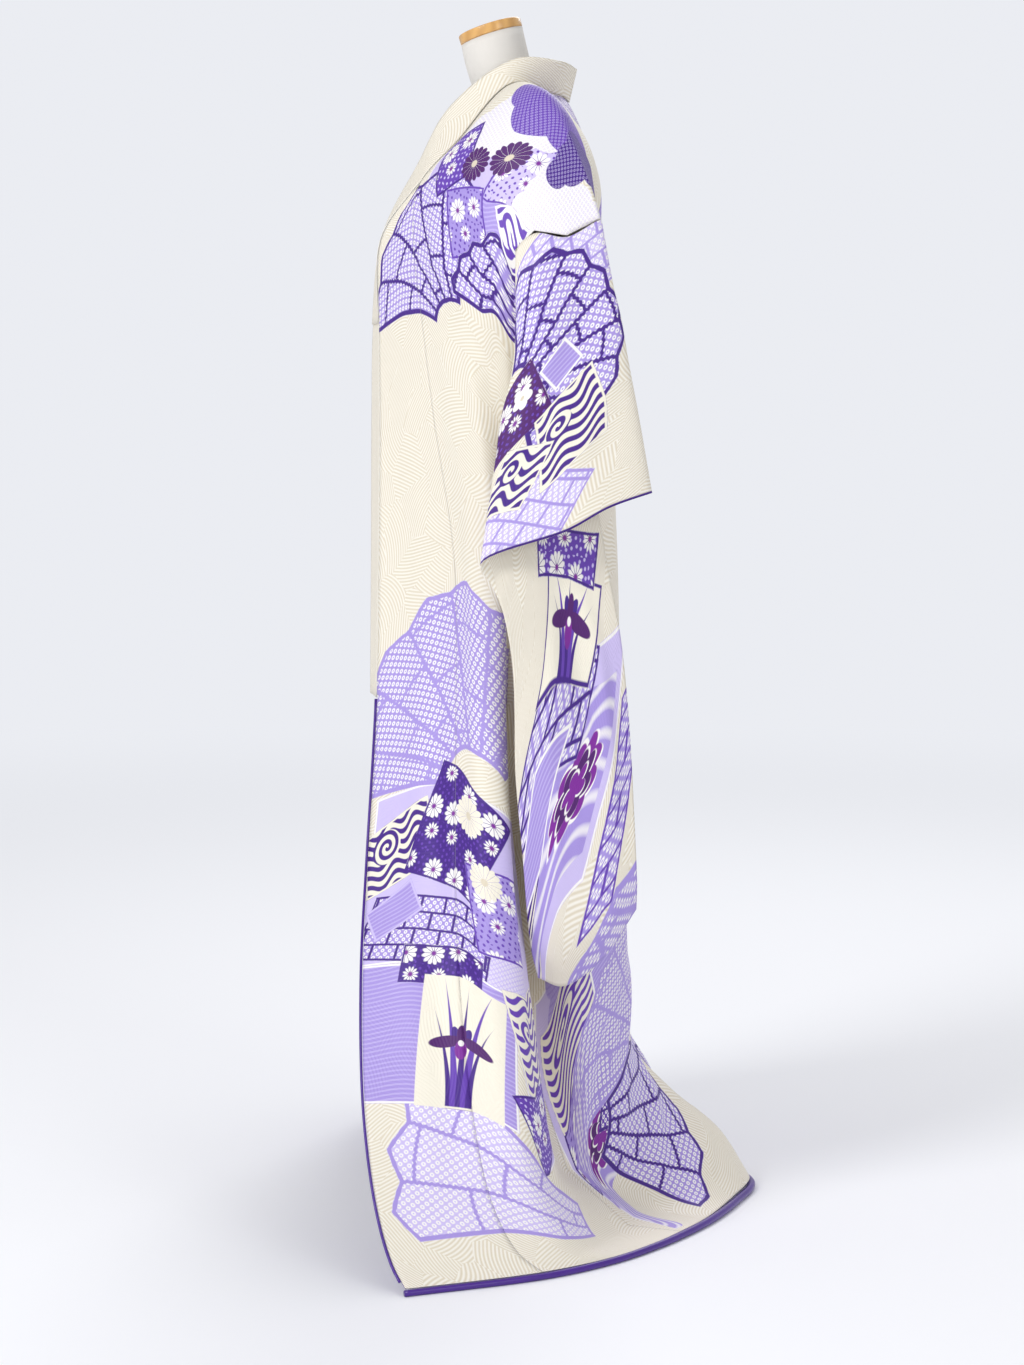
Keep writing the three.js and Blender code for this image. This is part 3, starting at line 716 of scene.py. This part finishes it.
# Across and along the cloth from the gore seam or back seam and the front hem, in metres.
#    kind       u      v      size   tall   turn  dye         line
BODY_MOTIFS = [
    ("lined", 0.010, 0.500, 0.150, 0.110, -6, "pale", "white"),
    ("lined", 0.120, 0.300, 0.050, 0.120, 6, "pale", "white"),
    ("dotted", 0.125, 0.745, 0.032, 0.062, 4, "mid", "violet"),
    ("fan", 0.040, 0.600, 0.262, 60, 20, "lavender", "lavender"),
    ("cloud", 0.090, 0.430, 0.060, 0, 80, "pale", "white"),
    ("water", -0.088, 0.550, 0.054, 0.042, 12, "violet", "ivory"),
    ("dotted", -0.040, 0.435, 0.090, 0.042, -14, "lavender", "violet"),
    ("lined", -0.088, 0.470, 0.034, 0.024, 24, "lavender", "pale"),
    ("flowers", 0.004, 0.553, 0.060, 0.068, -26, "violet", "violet"),
    ("flowers", 0.062, 0.470, 0.038, 0.052, 8, "lavender", "mid"),
    ("mum", 0.026, 0.575, 0.024, 0, 0, "ivory", "mid"),
    ("mum", 0.048, 0.505, 0.022, 0, 0, "ivory", "mid"),
    ("fan", 0.215, 0.080, 0.335, 20, 74, "pale", "lavender"),
    ("lined", -0.036, 0.305, 0.100, 0.086, -8, "lavender", "white"),
    ("flowers", -0.020, 0.388, 0.054, 0.024, -10, "violet", "violet"),
    ("iris", -0.004, 0.292, 0.052, 0.080, -9, "ivory", "ivory"),
    ("water", 0.105, 0.330, 0.040, 0.058, 10, "mid", "ivory"),
    ("flowers", 0.110, 0.230, 0.045, 0.045, 25, "mid", "violet"),
    ("lined", 0.130, 1.330, 0.110, 0.090, 8, "pale", "white"),
    ("lined", 0.150, 1.290, 0.060, 0.060, 8, "lavender", "white"),
    ("flowers", 0.200, 1.385, 0.050, 0.050, -10, "pale", "mid"),
    ("fan", 0.078, 1.165, 0.205, 44, 30, "lavender", "violet"),
    ("flowers", 0.115, 1.310, 0.036, 0.042, 10, "lavender", "mid"),
    ("fan", 0.190, 1.190, 0.120, 58, 16, "lavender", "violet"),
    ("cloud", 0.240, 1.376, 0.044, 0, 60, "white", "pale"),
    ("cloud", 0.105, 1.432, 0.046, 0, 20, "white", "pale"),
    ("flowers", 0.062, 1.385, 0.034, 0.040, 30, "mid", "violet"),
    ("water", 0.205, 1.318, 0.034, 0.026, 12, "mid", "white"),
    ("cloud", 0.150, 1.480, 0.050, 0, -10, "mid", "pale"),
    ("cloud", 0.222, 1.470, 0.038, 0, -80, "violet", "pale"),
    ("mum", 0.110, 1.380, 0.023, 0, 0, "plum", "white"),
    ("mum", 0.153, 1.398, 0.023, 0, 20, "plum", "white"),
    ("fan", 0.060, 1.700, 0.170, 60, 150, "mid", "violet"),
    ("flowers", 0.170, 1.700, 0.050, 0.050, 20, "lavender", "violet"),
    ("water", 0.090, 1.870, 0.045, 0.035, -15, "violet", "ivory"),
    ("peony", 0.190, 1.850, 0.045, 0.055, 10, "lavender", "white"),
    ("lined", 0.175, 2.660, 0.080, 0.180, 4, "pale", "white"),
    ("fan", 0.080, 2.500, 0.220, 58, 186, "lavender", "mid"),
    ("cloud", 0.205, 2.480, 0.045, 0, 90, "lavender", "pale"),
    ("water", 0.205, 2.590, 0.044, 0.068, 186, "mid", "ivory"),
    ("flowers", 0.200, 2.700, 0.046, 0.045, 176, "lavender", "violet"),
    ("lined", 0.130, 2.640, 0.045, 0.060, 10, "lavender", "white"),
    ("peony", 0.190, 2.800, 0.048, 0.056, 170, "lavender", "white"),
    ("iris", 0.060, 2.660, 0.050, 0.070, 190, "ivory", "white"),
    ("dotted", 0.110, 2.790, 0.070, 0.045, 150, "mid", "violet"),
    ("fan", 0.050, 2.770, 0.200, 55, 215, "lavender", "lavender"),
    ("fan", 0.215, 2.775, 0.215, 40, 56, "lavender", "violet"),
]
BODY_CUTS = (0.34, 0.62, 1.00, 1.42, 1.75, 2.35, 2.65)
# The right side is printed from the same blocks, set a little differently.
right_motifs = [
    (kind, 0.9 * u + 0.01 + 0.02 * math.sin(2.4 * i), v + 0.05 * math.cos(1.7 * i), size, tall,
     turn + 16 * math.sin(1.3 * i), tone, line)
    for i, (kind, u, v, size, tall, turn, tone, line) in enumerate(BODY_MOTIFS)]
body_print = {side: [printed_silk("printed_silk_%s_%d" % (side, i), motifs, low, high)
                     for i, (low, high) in enumerate(zip((-9, *BODY_CUTS), (*BODY_CUTS, 9)))]
              for side, motifs in (("left", BODY_MOTIFS), ("right", right_motifs))}
LINING, LINING_SHADE, LINING_PITCH = (0.82, 0.79, 0.72), (0.74, 0.71, 0.63), 0.0006
HEM_LINING = ((0.085, 0.016, 0.30), (0.05, 0.008, 0.20), 0.40, 2.62)
pale_lining = woven("pale_lining", LINING, LINING_SHADE, LINING_PITCH, 0.5)
body_lining = woven("body_lining", LINING, LINING_SHADE, LINING_PITCH, 0.45, dipped=HEM_LINING)
# The main folds of a body panel and its gore: from u, v to u, v, width and height, all in mm.
BODY_FOLDS = [
    (-70, 1258, -4, 1246, 6, 2.4),
    (-70, 1240, -4, 1226, 10, -1.4),
    (4, 1246, 80, 1250, 7, 2.2),
    (153, 1520, 196, 1350, 7, 2.2),
    (80, 1420, 200, 1270, 22, 2.6),
    (130, 1310, 225, 1225, 12, 2.4),
    (30, 1320, 130, 1150, 22, 2.6),
    (85, 1190, 70, 740, 10, 4.0),
    (107, 1180, 98, 700, 12, -3.0),
    (140, 1200, 125, 800, 10, 3.4),
    (205, 1255, 120, 1110, 10, 3.0),
    (220, 1200, 140, 1030, 10, 2.6),
    (60, 1100, 40, 140, 26, 7.0),
    (110, 1000, 95, 120, 24, -7.0),
    (165, 1050, 150, 160, 26, 6.0),
    (-55, 1150, -60, 120, 20, 2.6),
    (-25, 900, -30, 60, 14, -2.2),
    (60, 1720, 75, 2300, 30, 4.5),
    (155, 1950, 130, 2560, 28, -4.5),
    (100, 2250, 55, 2880, 30, 5.0),
    (215, 2300, 200, 2860, 22, 4.0),
    (15, 2790, 100, 2880, 13, 5.0),
    (50, 2860, 150, 2925, 12, -4.0),
    (20, 2925, 95, 2960, 11, 4.0),
    (110, 2780, 190, 2850, 15, 4.5),
    (140, 2680, 200, 2780, 13, -4.0),
    (35, 2650, 105, 2750, 18, 4.5),
]
ROW_STEPS, COL_STEPS = 11, 22
body_rows = np.linspace(0, 26, 26 * ROW_STEPS + 1)
body_cols = np.linspace(1, 4, 3 * COL_STEPS + 1)
body_lines_of = {"left": body_lines(to_left), "right": body_lines(to_right)[:, ::-1]}
# How far each border of the cloth stops short of its seam, of the collar, of the
# roll of lining at a free edge and of the padded hem, in mm.
SEAM_TRIM, COLLAR_TRIM, ROLL_TRIM, HEM_PULL = 0.08, 0.95, 2.2, 4.6
PANEL_WALL, RIGHT_FOLDS = 1.4, 0.85
for side, lines in body_lines_of.items():
    mirrored = side == "right"
    cols = 5 - body_cols[::-1] if mirrored else body_cols
    grid = surface(lines, body_rows, cols, 1 if mirrored else 4)
    pull_in(grid, "first_row", HEM_PULL)
    pull_in(grid, "last_row", HEM_PULL)
    middle = -1 if mirrored else 0
    grid[NAPE_ROW * ROW_STEPS:, middle, 0] = 0
    beside_collar = (body_rows > 11) & (body_rows < 15.5)
    inner, outer = ("last_col", "first_col") if mirrored else ("first_col", "last_col")
    pull_in(grid, inner, np.where(beside_collar, COLLAR_TRIM, SEAM_TRIM))
    pull_in(grid, outer, SEAM_TRIM)
    way = -1 if mirrored else 1
    crease(grid, BODY_FOLDS, middle, way, RIGHT_FOLDS if mirrored else 1.0)
    panel = cloth("silk_panel_" + side, grid, PANEL_WALL, body_print[side],
                  [body_lining], middle, way, BODY_CUTS)
    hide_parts("body_" + side)


# ---- Front gores -----------------------------------------------------------
# A long narrow gore of the same silk is sewn to each front and runs to a point
# under the collar. Its free edge carries a thin turned-out line of lining.
GORE_TIP_ROW, COLLAR_FROM = 11, 6
GORE_TIP_TRIM, GORE_HEM_PULL = 0.5, 2.1
gore_rows = np.linspace(0, GORE_TIP_ROW, GORE_TIP_ROW * ROW_STEPS + 1)
gore_cols = np.linspace(0, 1, 19)
for side, lines in body_lines_of.items():
    mirrored = side == "right"
    grid = surface(lines, gore_rows, 5 - gore_cols[::-1] if mirrored else gore_cols)
    free, sewn = ("last_col", "first_col") if mirrored else ("first_col", "last_col")
    pull_in(grid, sewn, np.where(gore_rows > 10, GORE_TIP_TRIM, SEAM_TRIM))
    pull_in(grid, free, np.where(gore_rows <= COLLAR_FROM, ROLL_TRIM, COLLAR_TRIM))
    pull_in(grid, "first_row", GORE_HEM_PULL)
    seam, way = (0, -1) if mirrored else (-1, 1)
    crease(grid, BODY_FOLDS, seam, way, RIGHT_FOLDS if mirrored else 1.0)
    gore = cloth("silk_gore_" + side, grid, PANEL_WALL, body_print[side][:4],
                 [body_lining], seam, way, BODY_CUTS[:3])
    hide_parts("gore_" + side)


# ---- Collar ----------------------------------------------------------------
# A long doubled band sewn round the neck and down both fronts, stiff enough to
# stand off the nape. A second short band covers it where it touches the neck.
COLLAR_FREE = [
    [40, -179, 645], [0, -179, 816], [-30, -179, 1000], [-42, -177, 1110], [-20, -163, 1220],
    [30, -116, 1306], [52, -76, 1374], [63, 4, 1431], [38, 62, 1431], [0, 80, 1426]]
OVER_COLLAR_FROM, COLLAR_STEPS = 6, 5
COLLAR_WALL, OVER_COLLAR_WALL, OVER_COLLAR_LIFT = 1.8, 1.2, 1.6


def collar_half(place, lines):
    free = np.array([[place(p)] for p in COLLAR_FREE], float)
    places = np.linspace(0, 9, 18 * COLLAR_STEPS + 1)
    seams = [smooth(lines[:, [c]], COLLAR_FROM + places) for c in (0, 1)]
    tip = (COLLAR_FROM + places > GORE_TIP_ROW)[:, None, None]
    return np.concatenate([smooth(free, places), np.where(tip, seams[1], seams[0])], axis=1)


collar_lines = np.concatenate([collar_half(to_left, body_lines_of["left"]),
                               collar_half(to_right, body_lines_of["right"][:, ::-1])[::-1][1:]])


def collar_grid(first, last):
    grid = surface(collar_lines, np.arange(first, last + 1.0), np.linspace(0, 1, 13))
    pull_in(grid, "last_col", COLLAR_TRIM)
    return grid


collar_band = collar_grid(0, len(collar_lines) - 1)
for end in ("first_row", "last_row"):
    pull_in(collar_band, end, ROLL_TRIM)
collar_silk = printed_silk("figured_silk_collar", [])
collar = cloth("silk_collar_band", collar_band, COLLAR_WALL, [collar_silk],
               [pale_lining])
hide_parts("collar")
cover_from = OVER_COLLAR_FROM * COLLAR_STEPS
cover = collar_grid(cover_from, len(collar_lines) - 1 - cover_from)
cover += outward(cover) * OVER_COLLAR_LIFT
over_collar = cloth("silk_over_collar", cover, OVER_COLLAR_WALL, [collar_silk],
                    [pale_lining])
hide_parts("over_collar")


# ---- Sleeves ---------------------------------------------------------------
# Each sleeve is one length of silk folded at the top and sewn into a long bag,
# open at the cuff and up its inner side. The bag hangs folded back on itself.
SLEEVE_BACK = [
    [[206, 148, 402], [210, 106, 345], [216, 60, 316], [232, 32, 326]],
    [[204, 146, 440], [208, 104, 385], [214, 52, 362], [234, 24, 366]],
    [[204, 142, 530], [208, 98, 492], [214, 48, 472], [236, 15, 470]],
    [[206, 134, 645], [210, 90, 605], [216, 44, 585], [237, 6, 575]],
    [[208, 126, 740], [213, 84, 695], [220, 42, 668], [238, 6, 650]],
    [[211, 114, 810], [216, 74, 760], [224, 38, 720], [239, 5, 700]],
    [[214, 96, 908], [220, 60, 836], [227, 28, 780], [240, 0, 738]],
    [[218, 72, 1028], [224, 38, 930], [232, 12, 850], [246, -9, 771]],
    [[223, 46, 1120], [227, 28, 1010], [234, 7, 901], [248, -19, 797]],
    [[213.5, 12, 1174], [213.5, 2, 1058], [217, -14, 941], [233, -36, 824]],
    [[206, 34, 1188], [204, 22, 1080], [206, 14, 960], [220, -6, 844]],
    [[211, 72, 1197], [201, 62, 1096], [196, 60, 985], [204, 74, 868]],
    [[227, 102, 1206.2], [216, 98, 1108], [214, 112, 1000], [222, 128, 892]],
]
SLEEVE_FOLD = [[240.5, 104.5, 1224.2], [250, 124, 1122], [258, 146, 1012], [264, 165, 905]]
SLEEVE_FRONT = [
    [[250, 64, 1204.3], [264, 78, 1105], [276, 96, 996], [286, 114, 888]],
    [[246, 26, 1208.6], [268, 34, 1098], [282, 42, 978], [294, 66, 862]],
    [[239, 4, 1185.5], [256, 2, 1064], [272, -20, 940], [286, -37, 822]],
    [[230, 42, 1124], [241, 22, 1014], [256, -2, 900], [274, -24, 797]],
    [[229, 74, 1026], [240, 36, 926], [257, 12, 842], [275, -12, 769]],
    [[228, 98, 906], [241, 60, 828], [262, 32, 766], [278, -4, 734]],
    [[228, 116, 806], [245, 78, 742], [268, 42, 700], [274, 1, 694]],
    [[228, 129, 736], [250, 92, 668], [268, 46, 655], [264, 3, 646]],
    [[230, 139, 642], [252, 100, 592], [258, 46, 580], [256, 4, 572]],
    [[232, 146, 528], [250, 104, 490], [254, 52, 470], [250, 13, 468]],
    [[230, 150, 440], [246, 108, 383], [250, 56, 360], [246, 22, 364]],
    [[212, 150, 401], [222, 108, 341], [230, 62, 310], [240, 31, 322]],
]
#    kind       u      v      size   tall   turn  dye         line
SLEEVE_MOTIFS = [
    ("dotted", 0.300, 0.955, 0.060, 0.060, -70, "pale", "lavender"),
    ("fan", 0.180, 1.030, 0.150, 76, 200, "lavender", "violet"),
    ("dotted", 0.030, 0.955, 0.075, 0.050, -110, "pale", "lavender"),
    ("flowers", 0.160, 1.016, 0.038, 0.040, -60, "plum", "plum"),
    ("plum", 0.172, 1.008, 0.014, 0, 0, "white", "white"),
    ("lined", 0.186, 0.962, 0.018, 0.020, -50, "lavender", "white"),
    ("water", 0.112, 0.930, 0.036, 0.048, -60, "violet", "ivory"),
    ("water", 0.080, 0.985, 0.034, 0.032, -100, "violet", "ivory"),
    ("fan", 0.120, 0.640, 0.150, 60, 80, "lavender", "mid"),
    ("flowers", 0.200, 0.560, 0.045, 0.050, 70, "mid", "violet"),
    ("bar", 0.000, 0.870, 0.0028, 0.5, 0, "violet", "violet"),
]
BAG_MOTIFS = [
    ("lined", 0.070, 1.500, 0.050, 0.082, 50, "pale", "white"),
    ("fan", 0.075, 1.680, 0.170, 62, 35, "lavender", "lavender"),
    ("dotted", 0.135, 1.650, 0.018, 0.080, 40, "lavender", "mid"),
    ("water", 0.012, 1.455, 0.022, 0.060, 40, "violet", "ivory"),
    ("peony", 0.070, 1.505, 0.036, 0.056, 50, "lavender", "white"),
    ("dotted", 0.052, 1.375, 0.050, 0.032, 60, "lavender", "violet"),
    ("lined", 0.022, 1.400, 0.024, 0.030, 60, "lavender", "white"),
    ("iris", 0.094, 1.345, 0.048, 0.036, -112, "ivory", "violet"),
    ("flowers", 0.130, 1.295, 0.050, 0.022, 68, "mid", "violet"),
    ("fan", 0.120, 0.640, 0.150, 60, 80, "lavender", "mid"),
]
# The main folds of a sleeve: from u, v to u, v, width and height, all in mm.
SLEEVE_FOLDS = [
    (290, 925, 60, 985, 18, -2.6),
    (280, 985, 110, 1075, 15, 3.0),
    (240, 890, 30, 905, 18, 2.6),
    (330, 985, 235, 1015, 8, 2.2),
    (45, 1270, 40, 1640, 14, -2.6),
    (85, 1250, 85, 1690, 16, 2.8),
    (125, 1300, 120, 1700, 13, -2.4),
    (100, 100, 90, 520, 18, 2.4),
    (180, 120, 180, 560, 18, -2.4),
    (250, 300, 120, 700, 20, 2.0),
]
SLEEVE_WALL, ARMHOLE_TRIM = 1.2, 0.3
sleeve_print = printed_silk("printed_silk_sleeve", SLEEVE_MOTIFS)
bag_print = printed_silk("printed_silk_bag", BAG_MOTIFS, stretch=2.0)
sleeve_lines = np.array([*SLEEVE_BACK, SLEEVE_FOLD, *SLEEVE_FRONT], float)
sleeve_rows = np.linspace(0, 25, 25 * 10 + 1)
sleeve_cols = np.linspace(0, 3, 3 * 18 + 1)
for side in ("left", "right"):
    lines = sleeve_lines[:, ::-1] if side == "left" else sleeve_lines * (-1, 1, 1)
    grid = surface(lines, sleeve_rows, sleeve_cols)
    pull_in(grid, "last_col" if side == "left" else "first_col", ARMHOLE_TRIM)
    seam, way = (0, 1) if side == "left" else (-1, -1)
    crease(grid, SLEEVE_FOLDS, seam, way, 1.0 if side == "left" else RIGHT_FOLDS)
    sleeve = cloth("silk_sleeve_" + side, grid, SLEEVE_WALL, [sleeve_print],
                   [bag_print], seam, way)
    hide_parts("sleeve_" + side)


# ---- Padded hem and lining edges -------------------------------------------
# The purple lining is turned out round the hem over a roll of cotton wadding,
# thickest at the middle of the back, and shows as a thin line up each front.
HEM_ROLL, HEM_ROLL_FRONT, EDGE_ROLL = 5.0, 3.8, 1.7
HEM_STEPS, HEM_SIDES, EDGE_STEPS, EDGE_SIDES = 24, 16, 12, 10
PURPLE, PURPLE_SHADE = (0.065, 0.010, 0.27), (0.035, 0.005, 0.17)
purple_satin = woven("purple_satin", PURPLE, PURPLE_SHADE, 0.0005, 0.3, sheen=0.08, raised=0.2)


def roll(name, path, radii, sides, material):
    """A soft round roll along a path in millimetres, closed at both ends."""
    run = np.gradient(path, axis=0)
    run /= np.linalg.norm(run, axis=1, keepdims=True)
    across = np.cross(run, (0, 0, 1))
    across /= np.linalg.norm(across, axis=1, keepdims=True)
    up = np.cross(run, across)
    turn = np.linspace(0, 2 * np.pi, sides, endpoint=False)
    rings = path[:, None] + radii[:, None, None] * (across[:, None] * np.cos(turn)[None, :, None]
                                                    + up[:, None] * np.sin(turn)[None, :, None])
    count = len(path)
    number = np.arange(count * sides).reshape(count, sides)
    beside = np.roll(number, -1, axis=1)
    faces = np.stack([number[:-1], beside[:-1], beside[1:], number[1:]], axis=2).reshape(-1, 4).tolist()
    faces += [number[0, ::-1].tolist(), number[-1].tolist()]
    mesh = bpy.data.meshes.new(name)
    mesh.from_pydata((rings / 1000).reshape(-1, 3).tolist(), [], faces)
    mesh.materials.append(material)
    mesh.polygons.foreach_set("use_smooth", [True] * len(mesh.polygons))
    piece = bpy.data.objects.new(name, mesh)
    bpy.context.collection.objects.link(piece)
    lengths = np.concatenate([[0], np.cumsum(np.linalg.norm(np.diff(path, axis=0), axis=1))]) / 1000
    turned = np.concatenate([turn, [2 * np.pi]]) * radii.mean() / 1000
    roll_map = mesh.uv_layers.new(name="cloth")
    for face in mesh.polygons:
        for loop in face.loop_indices:
            vertex = mesh.loops[loop].vertex_index
            ring, spoke = divmod(vertex, sides)
            ends = [mesh.loops[k].vertex_index % sides == sides - 1 for k in face.loop_indices]
            wraps = spoke == 0 and any(ends)
            roll_map.data[loop].uv = (lengths[ring], turned[sides if wraps else spoke])
    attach(piece, "root")
    return piece


left_lines, right_lines = body_lines_of["left"], body_lines_of["right"][:, ::-1]
hem_knots = np.concatenate([
    left_lines[0, :5], left_lines[-1, 1:4][::-1],
    np.concatenate([right_lines[0, :5], right_lines[-1, 1:4][::-1]])[::-1][1:]])
hem_places = np.linspace(0, len(hem_knots) - 1, HEM_STEPS * (len(hem_knots) - 1) + 1)
hem_path = smooth(hem_knots[:, None], hem_places)[:, 0]
from_middle = np.abs(np.linspace(-1, 1, len(hem_path)))
hem_radii = HEM_ROLL + (HEM_ROLL_FRONT - HEM_ROLL) * from_middle
hem_path[:, 2] = hem_radii
hem_roll = roll("padded_hem", hem_path, hem_radii, HEM_SIDES, purple_satin)
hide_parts("hem_roll")
for side, lines in (("left", left_lines), ("right", right_lines)):
    edge = smooth(lines[:, :1], np.linspace(0, COLLAR_FROM, COLLAR_FROM * EDGE_STEPS + 1))[:, 0]
    edge = edge[edge[:, 2] > 2 * HEM_ROLL + 4]
    thick = np.full(len(edge), EDGE_ROLL)
    piping = roll("lining_edge_" + side, edge, thick, EDGE_SIDES, purple_satin)
    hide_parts("edge_lining_" + side)


# ---- Dress form ------------------------------------------------------------
# A padded shell covered in off-white linen, with a turned wooden cap screwed on
# the leaning neck. A steel tube and a steel disc, hidden by the skirt, carry it.
LINEN, LINEN_SHADE = (0.76, 0.73, 0.68), (0.66, 0.63, 0.58)
linen = woven("form_linen", LINEN, LINEN_SHADE, 0.0009, 0.85, sheen=0.1, raised=0.5)
form = frame["nodes"]["form_torso"].copy()
form.data = frame["nodes"]["form_torso"].data.copy()
form.name = "linen_form"
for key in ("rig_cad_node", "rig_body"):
    if key in form:
        del form[key]
bpy.context.collection.objects.link(form)
bpy.context.view_layer.objects.active = form
form.select_set(True)
bpy.ops.object.mode_set(mode="EDIT")
bpy.ops.mesh.select_all(action="SELECT")
bpy.ops.mesh.remove_doubles(threshold=0.00005)
bpy.ops.mesh.tris_convert_to_quads(face_threshold=math.radians(60), shape_threshold=math.radians(60))
bpy.ops.mesh.select_all(action="DESELECT")
bpy.ops.mesh.edges_select_sharp(sharpness=math.radians(50))
bpy.ops.transform.edge_crease(value=1.0)
bpy.ops.object.mode_set(mode="OBJECT")
rounding = form.modifiers.new("rounding", "SUBSURF")
rounding.levels = rounding.render_levels = 2
bpy.ops.object.modifier_apply(modifier="rounding")
form.data.polygons.foreach_set("use_smooth", [True] * len(form.data.polygons))
form.data.materials.clear()
form.data.materials.append(linen)
form.select_set(False)
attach(form, "root")
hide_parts("form_torso")

NECK_TOP, NECK_Y, CAP_LEAN, CAP_HEIGHT = 1.466, -0.025, 0.3, 0.012
cap_wood, wood_tree, wood_shader = new_material("cap_wood")
wood_place = wood_tree.nodes.new("ShaderNodeTexCoord")
wood_grain = wood_tree.nodes.new("ShaderNodeTexWave")
wood_grain.bands_direction = "Y"
wood_grain.inputs["Scale"].default_value = 24
wood_grain.inputs["Distortion"].default_value = 5
wood_grain.inputs["Detail"].default_value = 3
wood_tree.links.new(wood_place.outputs["Object"], wood_grain.inputs["Vector"])
wood_colour = blend(wood_tree, wood_grain.outputs["Fac"], (0.62, 0.33, 0.10), (0.74, 0.42, 0.135))
wood_tree.links.new(wood_colour, wood_shader.inputs["Base Color"])
wood_shader.inputs["Roughness"].default_value = 0.38
wood_shader.inputs["Coat Weight"].default_value = 0.3
rise = CAP_HEIGHT / 2 + 0.0003
bpy.ops.mesh.primitive_cylinder_add(vertices=96, radius=1.0, depth=1.0, end_fill_type="NGON",
                                    location=(0, NECK_Y - rise * math.sin(CAP_LEAN),
                                              NECK_TOP + rise * math.cos(CAP_LEAN)),
                                    rotation=(CAP_LEAN, 0, 0))
cap = bpy.context.object
cap.name = "wooden_cap"
cap.scale = (0.044, 0.040, CAP_HEIGHT)
bpy.ops.object.transform_apply(location=True, rotation=True, scale=True)
softened = cap.modifiers.new("softened", "BEVEL")
softened.width = 0.002
softened.segments = 4
softened.angle_limit = math.radians(60)
bpy.ops.object.modifier_apply(modifier="softened")
bpy.ops.object.shade_smooth_by_angle(angle=math.radians(35))
cap.data.materials.append(cap_wood)
cap.select_set(False)
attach(cap, "root")
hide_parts("form_cap")

stand_metal, steel_tree, steel_shader = new_material("stand_metal")
steel_place = steel_tree.nodes.new("ShaderNodeTexCoord")
steel_stretch = steel_tree.nodes.new("ShaderNodeMapping")
steel_stretch.inputs["Scale"].default_value = (900, 900, 12)
steel_brush = steel_tree.nodes.new("ShaderNodeTexNoise")
steel_brush.inputs["Scale"].default_value = 1
steel_tree.links.new(steel_place.outputs["Object"], steel_stretch.inputs["Vector"])
steel_tree.links.new(steel_stretch.outputs["Vector"], steel_brush.inputs["Vector"])
raise_relief(steel_tree, steel_shader, steel_brush.outputs["Fac"], 0.15, 0.0002)
steel_shader.inputs["Base Color"].default_value = (0.55, 0.55, 0.57, 1)
steel_shader.inputs["Metallic"].default_value = 1
steel_shader.inputs["Roughness"].default_value = 0.32
for node in ("stand_pole", "stand_base"):
    stand = frame["nodes"][node]
    stand.data.materials.clear()
    stand.data.materials.append(stand_metal)
